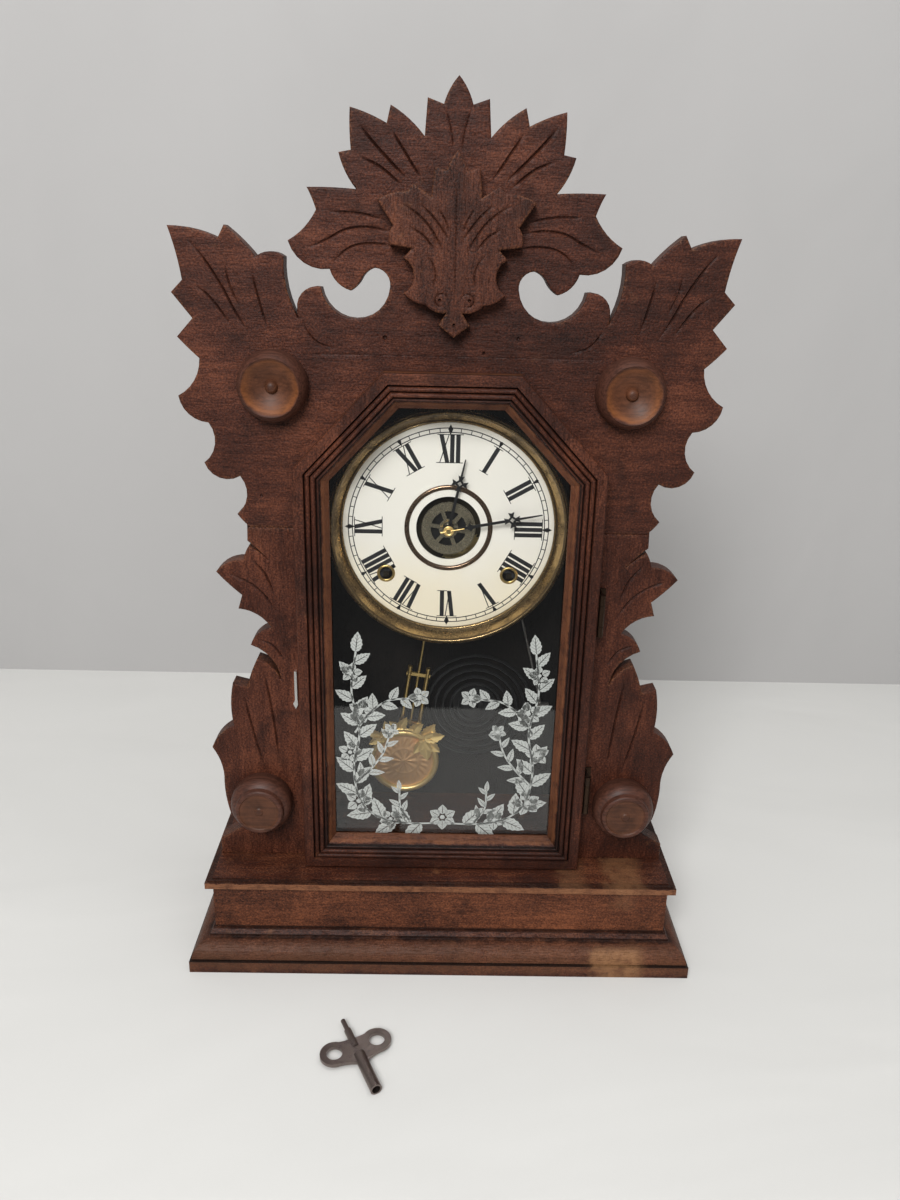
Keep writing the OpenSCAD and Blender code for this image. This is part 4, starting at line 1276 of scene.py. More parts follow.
@dataclass
class Pendulum:
    """The bob: a stamped coppery medallion in a brass ring, with a leafy swag over it.

    The medallion rises by dome (1 - (r/R)^2) plus rings and petals cos(n a) that fade to its middle
    and rim.

    Attributes:
        brass: finish of the ring and the swag.
        copper: finish of the medallion.
        radius: radius of the bob.
        thick: thickness of the bob.
    """

    brass: bpy.types.Material
    copper: bpy.types.Material
    radius: float = 26.5
    thick: float = 9.0

    def build(self) -> None:
        """Builds the bob in place of its solid."""
        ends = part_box("pendulum_bob")
        x, y, z = (v / MM for v in (ends[0] + ends[1]) / 2)
        pile = Pile()
        h = self.thick / 2
        big = self.radius
        wide, high, seat = 2.6, 2.9, h - 3.4
        t = np.linspace(0.0, 2 * np.pi, 17)
        roll = np.column_stack([big - wide + wide * np.cos(t), seat + high * np.sin(t)])
        pile.grid(lathe(roll[:-1], x, y, z, 144), wrap_u=True, wrap_v=True, slot=0)
        back = np.array([(0.01, -h + 1.0), (big * 0.6, -h + 0.8), (big - 3.0, -h + 1.6), (big - 1.4, seat)])
        pile.grid(lathe(back, x, y, z, 96), wrap_v=True, slot=0)
        r = np.linspace(0.02, 1.0, 46)[:, None]
        a = np.linspace(0.0, 2 * np.pi, 192, endpoint=False)[None]
        swell = 0.5 * (1.0 - r ** 2)
        petals = 0.24 * np.cos(10 * a) * np.sin(np.pi * np.clip(r / 0.62, 0, 1)) ** 2
        scroll = 0.30 * np.cos(24 * a + 9 * r) * np.sin(np.pi * np.clip((r - 0.5) / 0.4, 0, 1)) ** 2
        rings = 0.28 * np.exp(-((r - 0.46) / 0.02) ** 2) + 0.35 * np.exp(-((r - 0.93) / 0.025) ** 2)
        boss = 0.7 * np.exp(-(r / 0.1) ** 2)
        f = h - 3.2 + 1.6 * swell + petals + scroll + rings + boss
        reach = (big - 3.6) * r
        face = np.stack([x + reach * np.cos(a), y - f, z + reach * np.sin(a)], -1) * MM
        pile.grid(face, wrap_v=True, slot=1)
        obj = pile.piece("bob_medallion", "pendulum", [self.brass, self.copper], replaces=["pendulum_bob"])
        sharpen(obj, 50.0)
        self.swag(x, y - h + 0.4, z)

    def swag(self, x: float, y: float, z: float) -> None:
        """Builds the swag of leaves over the top of the bob.

        Args:
            x: middle of the bob.
            y: its front.
            z: its height.
        """
        pile = Pile()
        sprigs = ((-17, 21, -120, 9), (-17, 21, -60, 10), (-16, 21, 20, 9), (-11, 25, -20, 9),
                  (-4, 28, 30, 10), (-3, 28, -50, 9), (4, 27, 60, 10), (9, 25, 10, 9), (14, 22, 40, 12),
                  (15, 21, 80, 13), (16, 19, 130, 12), (15, 19, 170, 14), (14, 18, 215, 10),
                  (18, 22, 20, 10))
        for dx, dz, turn, long in sprigs:
            Leaf((x + dx, y, z + dz), turn, 1.2 * long, long * 0.42, 0.35, 1.2, 0.25, 0.5).add(pile)
        sweep = curve(((-18, 20), (-11, 25.5), (-2, 28), (7, 26.5), (15, 21)), 10)
        path = np.column_stack([x + sweep[:, 0], np.full(len(sweep), y), z + sweep[:, 1]])
        pile.grid(tube(path, 1.1, 8), wrap_v=True)
        for dx, dz in ((-16.5, 21.5), (15, 20.5)):
            Blossom((x + dx, y - 0.6, z + dz), 5.2, 20.0, 5, 0.2, 0.8).add(pile)
        obj = pile.piece("bob_swag", "pendulum", [self.brass])
        sharpen(obj, 50.0)


@dataclass(frozen=True)
class Frost:
    """Silver-white drawing on the glass, with clear veins along its leaves.

    Attributes:
        name: name of the material.
        colour: colour of the drawing.
    """

    name: str = "frosted_silver"
    colour: Colour = (0.60, 0.61, 0.59)

    def make(self) -> bpy.types.Material:
        """Returns the material."""
        g = Graph(self.name)
        along, across, _ = g.split(g.make("ShaderNodeUVMap", {"uv_map": "spots"}))
        across = abs(across)
        on = along.band(0.03, 0.05) * along.band(0.86, 0.9, 1.0, 0.0)
        rib = across.band(0.05, 0.12, 1.0, 0.0) * on
        wave = g.math("FRACT", along * 6.0 - across * 1.3)
        veins = abs(wave - 0.5).band(0.05, 0.1, 1.0, 0.0) * on * across.band(0.6, 0.8, 1.0, 0.0)
        grains = g.noise(g.place(), 2400.0, 2.0, 0.6)
        clear = g.math("MAXIMUM", rib, veins * 0.75)
        thin = grains.band(0.3, 0.62, 0.12, 0.0)
        tint = g.mix(grains.band(0.35, 0.7, 0.0, 0.35), self.colour, scaled(self.colour, 0.78))
        return g.surface(Base_Color=tint, Roughness=0.6 + grains * 0.1, Alpha=0.97 - clear * 0.85 - thin)


@dataclass
class Tablet:
    """The drawing on the back of the door glass: a plain wreath of leaf sprays and blossoms.

    Each stem is a ribbon of even width along a smooth curve, and its leaves stand off it in turn.

    Attributes:
        silver: finish of the drawing.
        wide: width of a stem.
        thick: thickness of the drawing.
        lean: angle between a leaf and its stem, in degrees.
    """

    silver: bpy.types.Material
    wide: float = 1.3
    thick: float = 0.05
    lean: float = 48.0

    def __post_init__(self) -> None:
        """Finds the back of the glass from the solid."""
        self.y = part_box("door_glass")[1].y / MM + 0.01
        self.pile = Pile()

    def ribbon(self, line: Array, wide: float) -> None:
        """Draws a ribbon along a line.

        Args:
            line: the line as x and z.
            wide: its width.
        """
        side = left_of(line) * wide / 2
        back = self.y + self.thick
        ring = []
        for hand, y in ((-1, self.y), (1, self.y), (1, back), (-1, back)):
            flat = line + hand * side
            ring.append(np.column_stack([flat[:, 0], np.full(len(flat), y), flat[:, 1]]))
        self.pile.grid(np.stack(ring, 1) * MM, wrap_v=True)

    def leaf(self, x: float, z: float, turn: float, long: float, notch: float = 0.0) -> None:
        """Draws a leaf.

        Args:
            x: place of its foot.
            z: height of its foot.
            turn: direction of its tip.
            long: its length.
            notch: depth of its teeth.
        """
        wide = long * (0.3 if notch else 0.2)
        Leaf((x, self.y, z), turn, long, wide, notch=notch, thick=self.thick).add(self.pile)

    def spray(self, points: Sequence[tuple[float, float]], long: float, skip: float, side: int,
              notch: float = 0.0) -> None:
        """Draws a stem with leaves on both sides and one at its tip.

        Args:
            points: places that the stem runs through.
            long: length of its largest leaf.
            skip: spacing of the leaves.
            side: one, or minus one for the other half of the glass.
            notch: depth of the teeth of the leaves.
        """
        line = evened(curve([(side * x, z) for x, z in points], 20), 1.0)
        self.ribbon(line, self.wide)
        along = np.gradient(line, axis=0)
        every = max(2, int(skip))
        for count, i in enumerate(range(every, len(line) - 2, every)):
            aim = math.degrees(math.atan2(along[i, 0], along[i, 1]))
            size = long * (1.0 - 0.35 * i / len(line))
            self.leaf(*line[i], aim + (self.lean if count % 2 else -self.lean), size, notch)
        aim = math.degrees(math.atan2(along[-1, 0], along[-1, 1]))
        self.leaf(*line[-1], aim, long * 0.75, notch)

    def flower(self, x: float, z: float, reach: float, turn: float = 0.0, petals: int = 5) -> None:
        """Draws a blossom.

        Args:
            x: its middle.
            z: height of its middle.
            reach: its radius.
            turn: turn of its first petal.
            petals: number of its petals.
        """
        Blossom((x, self.y, z), reach, turn, petals, thick=self.thick).add(self.pile)

    def build(self) -> None:
        """Draws the tablet."""
        main = ((6, 95), (26, 95), (45, 100), (57, 113), (61, 138), (57, 166), (62, 196), (59, 224))
        blooms = ((58, 112, 10.0), (63.5, 150, 8.5), (56, 181, 9.0), (62, 209, 7.5), (36, 98, 8.0),
                  (17, 192, 7.5), (36, 167, 6.0))
        for side in (-1, 1):
            self.spray(main, 19.0, 9, side, 0.2)
            self.spray(((60, 165), (50, 180), (38, 189), (24, 191)), 14.5, 7, side, 0.15)
            self.spray(((60, 126), (49, 138), (41, 150), (37, 163)), 13.0, 6, side)
            self.spray(((22, 96), (29, 107), (30, 121)), 11.0, 5, side)
            for x, z, reach in blooms:
                self.flower(side * x, z, reach, side * x)
        self.flower(0, 100, 10.0, 0, 6)
        self.pile.piece("glass_wreath", "door", [self.silver], smooth=False)


@dataclass(frozen=True)
class TurnedWood:
    """Turned walnut with a worn face and a painted highlight on its rim, in rings about a line along Y.

    Attributes:
        name: name of the material.
        x: place of the axis.
        z: height of the axis.
        face: radius of the worn face.
        worn: colour of the face.
        dark: colour of the rim and the sides.
        pool: radius of the dark middle.
        glow: colour of the painted highlight on the rim of the face, strongest on its lower side.
        rim: strength of that painted highlight.
    """

    name: str
    x: float
    z: float
    face: float
    worn: Colour
    dark: Colour = (0.036, 0.0135, 0.0085)
    pool: float = 0.5
    glow: Colour = (0.235, 0.078, 0.021)
    rim: float = 0.8

    def make(self) -> bpy.types.Material:
        """Returns the material."""
        g = Graph(self.name)
        x, _, z = g.axes()
        dz = z - self.z
        r = g.radius(x - self.x, dz)
        cloud = g.noise(g.place(), 70.0, 4.0, 0.6, 0.4)
        fine = g.noise(g.stretched(Axis.X, 0.08, 1.0), 700.0, 3.0, 0.6)
        lines = g.noise(g.join(r * 1.1, 0.0, 0.0), 1.0, 3.0, 0.6)
        inside = (r + (cloud - 0.5) * 5.0).band(self.face - 1.6, self.face + 0.6, 1.0, 0.0)
        tone = g.mix(fine.band(0.3, 0.7), self.dark, scaled(self.dark, 2.2))
        bright = g.mix((cloud * 0.6 + fine * 0.4).band(0.34, 0.66), scaled(self.worn, 0.42), self.worn)
        # Painted highlight on the rim of the face, stronger on its lower side.
        edge = (r + (cloud - 0.5) * 3.0).band(self.face * 0.60, self.face * 1.02)
        edge = edge * dz.band(-self.face, self.face * 0.7, 1.0, 0.45) * fine.band(0.25, 0.65, 0.55, 1.0)
        bright = g.mix(edge * self.rim, bright, self.glow)
        base = g.mix(inside * 0.92, tone, bright)
        base = g.mix(r.band(self.pool, self.pool + 2.5, 0.55, 0.0), base, self.dark)
        base = g.mix(lines.band(0.5, 0.7, 0.0, 0.35), base, self.dark)
        g.bump(fine * 0.5 + lines * 0.8 + g.noise(g.place(), 420.0, 2.0) * 0.4, 0.3, 0.0004)
        return g.surface(Base_Color=base, Roughness=cloud * 0.2 + 0.40, Coat_Weight=0.03,
                         Coat_Roughness=0.3, Specular_IOR_Level=0.22)


@dataclass(frozen=True)
class RingMetal:
    """Aged brass or copper with stains that follow rings about the dial centre.

    Attributes:
        name: name of the material.
        z: height of the axis.
        rings: radius, half width and strength of each dark ring.
        bright: colour where clean.
        dull: colour of the stains.
        marks: number of dark marks round the ring, or zero.
        share: greatest share of the stains.
    """

    name: str
    z: float
    rings: tuple[tuple[float, float, float], ...]
    bright: Colour
    dull: Colour
    marks: int = 0
    share: float = 0.75

    def make(self) -> bpy.types.Material:
        """Returns the material."""
        g = Graph(self.name)
        x, _, z = g.axes()
        dz = z - self.z
        r = g.radius(x, dz)
        spots = g.noise(g.place(), 40.0, 5.0, 0.62, 0.5)
        specks = g.noise(g.place(), 900.0, 2.0, 0.6)
        stain = (spots * 0.7 + specks * 0.3).band(0.40, 0.66, 0.05, self.share)
        for at, wide, strength in self.rings:
            ring = abs(r - at + (spots - 0.5) * 1.5).band(wide * 0.4, wide, strength, 0.0)
            stain = g.math("MAXIMUM", stain, ring)
        if self.marks:
            turn = g.math("FRACT", g.math("ARCTAN2", x, dz) * (self.marks / (2 * math.pi)))
            tick = abs(turn - 0.5).band(0.10, 0.2, 1.0, 0.0) * abs(r - 14.6).band(1.3, 1.7, 1.0, 0.0)
            stain = g.math("MAXIMUM", stain, tick * 0.8)
        g.bump(specks, 0.05, 0.0002)
        return g.surface(Base_Color=g.mix(stain, self.bright, self.dull), Metallic=1.0 - stain * 0.25,
                         Roughness=stain * 0.22 + specks * 0.08 + 0.15)


def half_round(radius: float, half: float, height: float, foot: float, steps: int = 14) -> Array:
    """Returns the section of a half-round ring, closed by a flat foot.

    The round is r = radius + half cos a and f = height sin a.

    Args:
        radius: radius of the middle of the ring.
        half: half width of the section.
        height: height of the section.
        foot: front distance of its flat back.
        steps: points over the round.
    """
    a = np.linspace(0, np.pi, steps)
    top = np.stack([radius + half * np.cos(a), height * np.sin(a)], -1)
    return np.vstack([top, [(radius - half, foot), (radius + half, foot)]])


@dataclass
class Fittings:
    """Fittings of the dial: stepped bezel, raised ring, hand nut with its pin and the minute spade.

    Attributes:
        brass: finish of the bezel.
        copper: finish of the ring.
        polished: finish of the nut.
        black: finish of the spade.
        inner: inner radius of the bezel.
        outer: outer radius of the bezel.
        high: height of the bezel above the dial.
        ring: radius of the raised ring.
        turn: clock angle of the minute hand in degrees.
    """

    brass: bpy.types.Material
    copper: bpy.types.Material
    polished: bpy.types.Material
    black: bpy.types.Material
    inner: float = 68.7
    outer: float = 79.0
    high: float = 9.0
    ring: float = 27.1
    turn: float = 79.0

    def __post_init__(self) -> None:
        """Finds the front and the centre of the dial."""
        low, high = (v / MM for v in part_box("dial_face"))
        self.front = low.y
        self.z = (low.z + high.z) / 2

    def section(self) -> Array:
        """Returns the bezel section, as radius and front distance: bead, dish, crown bead and round side.

        A bead is r = c + s cos a, f = h + s sin a. The dish is a straight rise that sags by 0.7 sin(pi t).
        """
        small, large, start, edge, back = 0.65, 0.85, 0.9, 8.0, -1.2
        a = np.linspace(0, np.pi, 10)[::-1]
        bead = np.stack([self.inner + 0.75 + small * np.cos(a), start + small * np.sin(a)], -1)
        t = np.linspace(0, 1, 16)
        dish = np.stack([self.inner + 1.7 + 4.2 * t, 1.1 + 6.4 * t - 0.7 * np.sin(np.pi * t)], -1)
        crown = np.stack([self.inner + 6.9 + large * np.cos(a), self.high - 0.95 + large * np.sin(a)], -1)
        b = np.linspace(0, np.pi / 2, 12)
        wide = self.outer - self.inner - edge
        side = np.stack([self.inner + edge + wide * np.sin(b), 2.8 + 4.8 * np.cos(b)], -1)
        lip = self.outer - 0.7
        foot = np.array([(self.outer, back), (lip, back), (lip, 0.0), (self.inner, 0.0)])
        return np.vstack([[(self.inner, start)], bead, dish, crown, side, foot])

    def bezel(self) -> None:
        """Builds the bezel in place of the plain one."""
        pile = Pile()
        pile.grid(lathe(self.section(), 0.0, self.front, self.z, 192), True, True)
        pile.piece("stepped_bezel", "case", [self.brass], replaces=["dial_bezel"])

    def raised_ring(self) -> None:
        """Builds the half-round ring in place of the flat one."""
        pile = Pile()
        pile.grid(lathe(half_round(self.ring, 1.6, 1.2, -0.02), 0.0, self.front, self.z, 160), True, True)
        pile.piece("half_round_ring", "case", [self.copper], replaces=["centre_ring"])

    def nut(self) -> None:
        """Builds the hand nut with its collar, arbor tip and taper pin."""
        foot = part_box("hand_washer")[1].y / MM
        pile = Pile()
        turned = np.array([(3.4, 0.0), (3.4, 0.5), (3.1, 0.85), (2.3, 0.9), (2.1, 0.6), (1.7, 0.6),
                           (1.5, 1.15), (0.9, 1.3), (0.05, 1.35), (0.05, 0.0)])
        pile.grid(lathe(turned, 0.0, foot, self.z, 40), True, True)
        a = math.radians(self.turn)
        reach = np.linspace(-5.4, 10.2, 8)
        path = np.stack([reach * math.sin(a), np.full(8, foot - 0.75), self.z + reach * math.cos(a)], -1)
        pile.grid(tube(path, np.linspace(0.6, 0.35, 8)), False, True)
        pile.piece("hand_nut", "centre", [self.polished], replaces=["hand_washer"])

    def spade(self) -> None:
        """Builds the small spade near the hub of the minute hand."""
        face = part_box("minute_hand")[0].y / MM
        a = math.radians(self.turn)
        along, across = np.array((math.sin(a), math.cos(a))), np.array((math.cos(a), -math.sin(a)))
        shape = np.array([(10.4, 0.0), (13.2, 1.5), (14.2, 2.9), (15.2, 1.5), (18.6, 0.0), (15.2, -1.5),
                          (14.2, -2.9), (13.2, -1.5)])
        corners = np.array((0.0, self.z)) + shape[:, :1] * along + shape[:, 1:] * across
        pile = Pile()
        pile.fan(corners, face - 0.1, face + 0.5)
        pile.piece("minute_spade", "minute", [self.black], smooth=False)

    def build(self) -> None:
        """Builds the fittings."""
        self.bezel()
        self.raised_ring()
        self.nut()
        self.spade()


class Finish(Protocol):
    """Anything that makes a material."""

    def make(self) -> bpy.types.Material:
        """Returns the material."""


@dataclass
class Solids:
    """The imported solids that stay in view, and their finishes.

    Attributes:
        nodes: the solids by name.
        upright: walnut with upright grain, once made.
        level: walnut with level grain, once made.
        ornament: walnut of the applied leaf, once made.
        brass: brass of the pendulum, once made.
        copper: copper of the pendulum, once made.
        ink: black of the dial print, once made.
        bezel: brass of the bezel, once made.
        ring: copper of the raised ring, once made.
        black: black of the hands, once made.
    """

    nodes: dict[str, bpy.types.Object]
    upright: bpy.types.Material | None = None
    level: bpy.types.Material | None = None
    ornament: bpy.types.Material | None = None
    brass: bpy.types.Material | None = None
    copper: bpy.types.Material | None = None
    ink: bpy.types.Material | None = None
    bezel: bpy.types.Material | None = None
    ring: bpy.types.Material | None = None
    black: bpy.types.Material | None = None

    def paint(self, finish: Finish, *names: str) -> bpy.types.Material:
        """Makes a finish and gives it to solids.

        Args:
            finish: the finish.
            names: names of the solids.

        Returns:
            The material.
        """
        material = finish.make()
        for name in names:
            data = self.nodes[name].data
            data.materials.clear()
            data.materials.append(material)
        return material

    def door_bands(self) -> tuple[Band, ...]:
        """Returns the painted shade and the wear of the door frame, by depth from its front."""
        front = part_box("door_left_stile")[0].y / MM
        return (
            # Painted shade: a near-black band in the step 1.5 to 3.9 mm behind the front of the frame.
            Band(Axis.Y, front + 1.5, front + 3.9, (0.005, 0.0025, 0.002), 0.9, 0.45),
            Band(Axis.Y, front + 4.6, front + 6.6, (0.19, 0.070, 0.027), 0.5, 0.5, 4.0),
            Band(Axis.Y, front + 6.6, front + 12.0, (0.145, 0.053, 0.021), 0.48, 1.0, 8.0),
        )

    def shelf_bands(self) -> tuple[Band, ...]:
        """Returns the wear of the shelf, and the painted shade and dirt in the quirk under its top edge, by
        height.
        """
        low, high = (v.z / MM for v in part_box("shelf"))
        pale = (0.23, 0.11, 0.05)
        return (
            Band(Axis.Z, low - 1.0, high - 1.7, (0.22, 0.092, 0.042), 0.75, 0.3, 4.0),
            # Painted shade and dirt in the quirk just under the top edge.
            Band(Axis.Z, high - 1.45, high - 0.45, (0.006, 0.0035, 0.0025), 0.6, 0.2),
            Band(Axis.Z, low - 1.0, high + 1.0, pale, 0.46, 0.3, 2.0, 126.0, 13.0),
            Band(Axis.Z, low - 1.0, high + 1.0, pale, 0.28, 0.3, 2.0, 90.0, 9.0),
        )

    def riser_bands(self) -> tuple[Band, ...]:
        """Returns the pale handled patch of the riser, the painted shade under the shelf and the darker
        joint at its foot, by height.
        """
        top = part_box("shelf")[0].z / MM
        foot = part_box("base_front_moulding")[1].z / MM
        dirt_and_shade = (0.008, 0.004, 0.003)
        return (
            # Painted shade under the overhang of the shelf.
            Band(Axis.Z, top - 1.6, top + 1.0, dirt_and_shade, 0.8, 0.8),
            # Darker at the joint with the base moulding.
            Band(Axis.Z, foot - 1.0, foot + 1.2, dirt_and_shade, 0.8, 0.6),
            Band(Axis.Z, top - 17.0, top, (0.20, 0.09, 0.042), 0.3, 3.0, 6.0, 126.0, 8.0),
        )

    def base_bands(self) -> tuple[Band, ...]:
        """Returns the wear, dirt and painted shade of the base moulding, by height, with its pale patch
        last.
        """
        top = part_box("base_front_moulding")[1].z / MM
        dirt_and_shade = (0.006, 0.0032, 0.0024)
        return (
            Band(Axis.Z, 2.0, top - 6.0, (0.17, 0.068, 0.03), 0.42, 2.0, 9.0),
            Band(Axis.Z, -6.0, top + 6.0, dirt_and_shade, 0.24, 3.0, 40.0),
            # Painted shade and dirt in the groove above the foot and in the quirk under the top fillet, and
            # darker at the joint with the riser.
            Band(Axis.Z, top * 0.32, top * 0.375, dirt_and_shade, 0.9, 0.2),
            Band(Axis.Z, top - 5.6, top - 3.4, dirt_and_shade, 0.75, 0.3, 1.0),
            Band(Axis.Z, top - 1.1, top + 1.0, dirt_and_shade, 0.6, 0.3, 1.0),
            Band(Axis.Z, -1.0, top * 0.72, (0.27, 0.135, 0.06), 0.66, 2.0, 5.0, 122.0, 17.0),
        )

    def case_woods(self) -> None:
        """Finishes the boards of the case and the applied leaf."""
        self.upright = self.paint(Wood("walnut_upright", Axis.Z, seed=1.7), "left_front_board",
                                  "right_front_board", "left_case_side", "right_case_side", "glass_beads")
        self.level = self.paint(Wood("walnut_level", Axis.X, seed=4.1), "bottom_board", "crest_board",
                                "case_top", "crest_ornament")
        self.paint(Wood("walnut_side", Axis.Y, seed=7.3), "left_riser", "right_riser")
        low, high = (v.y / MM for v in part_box("back_board"))
        bare = Band(Axis.Y, low + 1.0, high + 2.0, (0.15, 0.078, 0.036), 0.8, 0.2)
        # Painted shade: near-black wood on the inner face of the back board for the dark inside of the case;
        # the back face stays bare wood.
        inside = Wood("case_inside", Axis.Z, dark=(0.004, 0.003, 0.003), mid=(0.008, 0.006, 0.005),
                      light=(0.014, 0.010, 0.008), worn=(0.02, 0.014, 0.01), gloss=0.75, seed=2.2,
                      bands=(bare,))
        self.paint(inside, "back_board")
        self.ornament = Wood("ornament_wood", Axis.Z, mid=(0.064, 0.0190, 0.0096),
                             light=(0.15, 0.048, 0.022), wear=0.3, seed=11.0, pore=0.2).make()

    def worn_woods(self) -> None:
        """Finishes the door frame, the shelf, the riser and the base, which show wear, dirt and painted
        shade.
        """
        door, dusk = self.door_bands(), (0.041, 0.0112, 0.0056)
        self.paint(Wood("door_upright", Axis.Z, mid=dusk, seed=5.3, bands=door), "door_left_stile",
                   "door_right_stile", "door_left_shoulder", "door_right_shoulder")
        self.paint(Wood("door_level", Axis.X, mid=dusk, seed=6.7, bands=door), "door_top_rail",
                   "door_bottom_rail")
        shelf = Wood("shelf_wood", Axis.X, light=(0.17, 0.058, 0.026), seed=8.9, wear=0.36,
                     bands=self.shelf_bands())
        self.paint(shelf, "shelf")
        riser = Wood("riser_wood", Axis.X, mid=(0.082, 0.0250, 0.0112), light=(0.20, 0.066, 0.028), seed=9.4,
                     bands=self.riser_bands())
        self.paint(riser, "front_riser")
        base = self.base_bands()
        front = Wood("base_wood", Axis.X, light=(0.16, 0.056, 0.027), seed=3.1, wear=0.34, bands=base)
        self.paint(front, "base_front_moulding")
        ends = Wood("base_end_wood", Axis.Y, seed=3.7, wear=0.25, bands=base[:-1])
        self.paint(ends, "base_left_moulding", "base_right_moulding")

    def turned_woods(self) -> None:
        """Finishes the dished rosettes and the turned knobs."""
        # Each look: radius of the worn face, its colour, and the strength of the painted highlight on its
        # rim.
        looks = {
            "rosette": (16.6, (0.112, 0.040, 0.018), 0.8),
            "knob": (14.0, (0.085, 0.032, 0.0155), 0.12),
        }
        for name, (face, worn, rim) in looks.items():
            for side in ("left", "right"):
                low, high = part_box(f"{side}_{name}")
                middle = (low + high) / 2 / MM
                wood = TurnedWood(f"{side}_{name}_wood", middle.x, middle.z, face, worn, rim=rim)
                self.paint(wood, f"{side}_{name}")

    def metals(self) -> None:
        """Finishes the movement, the hinges, the catch, the gong, the key and the pendulum."""
        self.paint(Metal("aged_brass", (0.62, 0.44, 0.17), (0.20, 0.13, 0.05), 0.5, 0.26),
                   "winding_grommets", "hand_washer", "pendulum_bob", "pendulum_rods")
        self.paint(Metal("hinge_bronze", (0.055, 0.034, 0.023), (0.02, 0.012, 0.009), 0.5, 0.4),
                   "hinge_case_leaves", "hinge_door_leaves")
        self.paint(Metal("shaded_plate", (0.05, 0.04, 0.025), (0.018, 0.014, 0.010), 0.5, 0.5),
                   "front_plate", "time_great_wheel", "strike_great_wheel")
        self.paint(Metal("plate_brass", (0.55, 0.42, 0.19), (0.22, 0.16, 0.08), 0.45, 0.35), "back_plate",
                   "minute_wheel", "second_wheel", "centre_wheel", "third_wheel", "escape_wheel",
                   "strike_second_wheel", "fly")
        self.paint(Metal("latch_nickel", (0.80, 0.79, 0.76), (0.45, 0.43, 0.40), 0.4, 0.3), "door_latch")
        self.paint(Metal("worn_steel", (0.42, 0.40, 0.38), (0.13, 0.11, 0.10), 0.5, 0.34), "time_mainspring",
                   "strike_mainspring", "verge", "hammer")
        self.paint(Metal("key_steel", (0.21, 0.17, 0.155), (0.07, 0.054, 0.048), 0.5, 0.34), "winding_key")
        self.paint(Coating("japanned_iron", (0.006, 0.006, 0.0065), 0.45), "gong_coil", "gong_base")
        self.brass = Metal("bob_brass", (0.92, 0.66, 0.27), (0.48, 0.30, 0.10), 0.25, 0.3, metal=0.7).make()
        self.copper = Metal("bob_copper", (0.95, 0.56, 0.27), (0.42, 0.19, 0.075), 0.35, 0.3, 260.0,
                            metal=0.62, stamp=1.0).make()

    def dial(self) -> None:
        """Finishes the dial, its rings and the hands."""
        low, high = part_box("dial_face")
        z = (low.z + high.z) / 2 / MM
        self.paint(DialPaper("dial_paper", z), "dial_face")
        self.paint(Metal("zinc_pan", (0.5, 0.5, 0.5), (0.25, 0.25, 0.25), 0.5, 0.5), "dial_pan")
        self.black = self.paint(Coating("black_hands", (0.008, 0.008, 0.009), 0.42), "hour_hand",
                                "minute_hand")
        self.ink = Coating("dial_ink", (0.012, 0.012, 0.014), 0.5, 0.2).make()
        bezel = RingMetal("bezel_brass", z, ((70.2, 0.7, 0.9), (74.7, 0.5, 0.85), (76.6, 0.5, 0.85)),
                          (0.56, 0.385, 0.18), (0.055, 0.034, 0.018), share=0.92)
        self.bezel = self.paint(bezel, "dial_bezel")
        ring = RingMetal("ring_copper", z, ((25.6, 0.8, 0.6),), (0.25, 0.165, 0.11), (0.055, 0.034, 0.023))
        self.ring = self.paint(ring, "centre_ring")
        alarm = RingMetal("alarm_brass", z, ((17.0, 0.6, 0.8),), (0.62, 0.55, 0.40), (0.17, 0.145, 0.10), 24)
        self.paint(alarm, "alarm_disc")

    def dress(self) -> None:
        """Gives every solid its finish."""
        self.case_woods()
        self.worn_woods()
        self.turned_woods()
        self.metals()
        self.dial()
        self.paint(Glass(), "door_glass")


@dataclass(frozen=True)
class Glass:
    """Clear old window glass: a clear sheet with a mirror that grows at a slant.

    Attributes:
        name: name of the material.
        index: refractive index of the reflection.
    """

    name: str = "door_glass"
    index: float = 1.42

    def make(self) -> bpy.types.Material:
        """Returns the material."""
        g = Graph(self.name)
        clear = g.make("ShaderNodeBsdfTransparent", Color=(0.99, 0.995, 0.99))
        shine = g.make("ShaderNodeBsdfGlossy", Color=(1.0, 1.0, 1.0), Roughness=0.02)
        share = g.make("ShaderNodeFresnel", IOR=self.index)
        both = g.make("ShaderNodeMixShader", in_0=share, in_1=clear, in_2=shine)
        g.tree.links.new(both.socket, g.output.inputs["Surface"])
        g.tree.nodes.remove(g.shader)
        return g.material


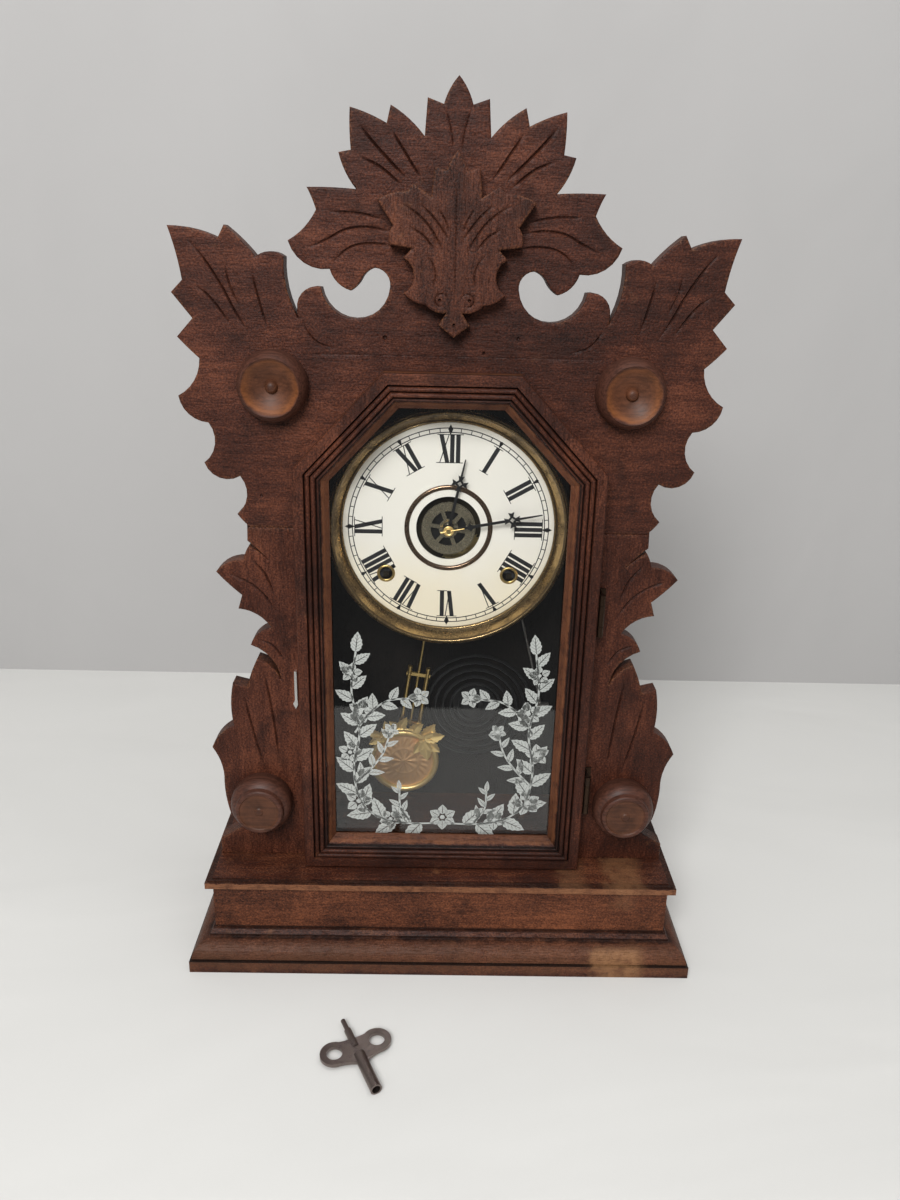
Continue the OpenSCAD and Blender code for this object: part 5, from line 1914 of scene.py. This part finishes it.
@dataclass
class Studio:
    """Camera, floor, backdrop and lamps.

    Attributes:
        eye: place of the camera, in millimetres.
        yaw: turn of the camera to the right, in degrees.
        pitch: tilt downwards, in degrees.
        roll: turn about its own line of sight, in degrees.
        focal: focal length in pixels.
        wall_y: place of the backdrop.
        edge_y: front edge of the table, where its mirror image ends.
        reach: half width of the floor, in metres.
        high: height of the picture in pixels that the focal length goes with.
        sensor: width of the sensor in millimetres.
        floor: colour of the floor.
        wall: colour of the backdrop.
        light: strength of the even light of the room.
        mirrored_light: its strength in mirrors.
    """

    eye: tuple[float, float, float] = (-7.8, -600.1, 468.9)
    yaw: float = 0.950
    pitch: float = 19.978
    roll: float = 1.391
    focal: float = 952.1
    wall_y: float = 425.0
    edge_y: float = -400.0
    reach: float = 3.0
    high: float = 1200.0
    sensor: float = 36.0
    floor: Colour = (0.60, 0.595, 0.575)
    wall: Colour = (0.41, 0.402, 0.396)
    light: float = 0.42
    mirrored_light: float = 0.15

    def camera(self) -> None:
        """Places the camera."""
        yaw, pitch, roll = (math.radians(a) for a in (self.yaw, self.pitch, self.roll))
        ahead = Vector((math.sin(yaw) * math.cos(pitch), math.cos(yaw) * math.cos(pitch), -math.sin(pitch)))
        right = ahead.cross(Vector((0, 0, 1))).normalized()
        up = right.cross(ahead)
        side = right * math.cos(roll) + up * math.sin(roll)
        top = up * math.cos(roll) - right * math.sin(roll)
        lens = bpy.data.cameras.new("camera")
        lens.sensor_width = self.sensor
        lens.lens = self.focal / self.high * self.sensor
        lens.clip_start = 0.01
        camera = bpy.data.objects.new("camera", lens)
        turn = Matrix((side, top, -ahead)).transposed().to_4x4()
        camera.matrix_world = Matrix.Translation(Vector(self.eye) * MM) @ turn
        bpy.context.scene.collection.objects.link(camera)
        bpy.context.scene.camera = camera

    def cloth(self, name: str, colour: Colour, corners: Sequence[Sequence[float]], lie: Axis) -> None:
        """Adds a plain sheet of the set, clear from behind and with no mirror image before the table edge.

        Args:
            name: its name.
            colour: its colour.
            corners: its corners in metres.
            lie: direction of its folds.
        """
        mesh = bpy.data.meshes.new(name)
        mesh.from_pydata([tuple(c) for c in corners], [], [(0, 1, 2, 3)])
        g = Graph(name)
        folds = g.noise(g.stretched(lie, 0.5, 1.0), 5.0, 3.0, 0.5, 0.6)
        tint = g.mix(folds.band(0.35, 0.7, 0.0, 0.5), colour, scaled(colour, 0.93))
        g.bump(folds + g.noise(g.place(), 1800.0, 1.0) * 0.01, 0.25, 0.02)
        mesh.materials.append(g.surface(Base_Color=tint, Roughness=0.95, Specular_IOR_Level=0.1))
        _, y, _ = g.axes()
        mirrored = g.make("ShaderNodeLightPath", out="Is Glossy Ray")
        beyond = y.band(self.edge_y - 1.0, self.edge_y + 1.0, 1.0, 0.0)
        gone = g.math("MAXIMUM", g.make("ShaderNodeNewGeometry", out="Backfacing"), mirrored * beyond)
        both = g.make("ShaderNodeMixShader", in_0=gone, in_1=Wire(g, g.shader.outputs[0]),
                      in_2=g.make("ShaderNodeBsdfTransparent"))
        g.tree.links.new(both.socket, g.output.inputs["Surface"])
        obj = bpy.data.objects.new(name, mesh)
        bpy.context.scene.collection.objects.link(obj)

    def lamp(self, name: str, place: Sequence[float], aim: Sequence[float], size: float,
             power: float) -> None:
        """Adds a square soft lamp.

        Args:
            name: its name.
            place: its place in metres.
            aim: the point that it faces.
            size: its side.
            power: its power in watts.
        """
        light = bpy.data.lights.new(name, "AREA")
        light.size = size
        light.energy = power
        obj = bpy.data.objects.new(name, light)
        obj.location = place
        obj.rotation_euler = (Vector(aim) - Vector(place)).to_track_quat("-Z", "Y").to_euler()
        bpy.context.scene.collection.objects.link(obj)

    def room(self) -> None:
        """Sets the even light of the room, which shows less in mirrors."""
        world = bpy.data.worlds.new("room")
        bpy.context.scene.world = world
        world.use_nodes = True
        air = world.node_tree.nodes["Background"]
        air.inputs[0].default_value = (0.97, 0.97, 0.97, 1.0)
        rays = world.node_tree.nodes.new("ShaderNodeLightPath")
        level = world.node_tree.nodes.new("ShaderNodeMapRange")
        level.inputs["To Min"].default_value = self.light
        level.inputs["To Max"].default_value = self.mirrored_light
        world.node_tree.links.new(rays.outputs["Is Glossy Ray"], level.inputs["Value"])
        world.node_tree.links.new(level.outputs[0], air.inputs[1])

    def build(self) -> None:
        """Builds the set."""
        self.camera()
        y, w = self.wall_y * MM, self.reach
        self.cloth("floor", self.floor, [(-w, -w, 0), (w, -w, 0), (w, w, 0), (-w, w, 0)], Axis.X)
        self.cloth("backdrop", self.wall, [(-w, y, 0), (w, y, 0), (w, y, w), (-w, y, w)], Axis.Z)
        self.lamp("top", (0.1, -0.35, 1.9), (0, 0, 0.2), 1.6, 13.0)
        self.lamp("front", (-0.4, -1.72, 1.52), (0, 0, 0.3), 0.8, 47.0)
        self.room()
        bpy.context.scene.view_settings.view_transform = "Standard"


def main() -> None:
    """Builds the clock in order."""
    logging.basicConfig(level=logging.INFO, format="%(message)s")
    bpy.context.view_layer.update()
    Studio().build()
    solids = Solids(frame["nodes"])
    solids.dress()
    Carving(solids.level, solids.upright, solids.ornament).build()
    Dial(solids.ink).build()
    Fittings(solids.bezel, solids.ring, solids.brass, solids.black).build()
    Pendulum(solids.brass, solids.copper).build()
    Tablet(Frost().make()).build()
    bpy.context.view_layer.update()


if __name__ == "__main__":
    main()
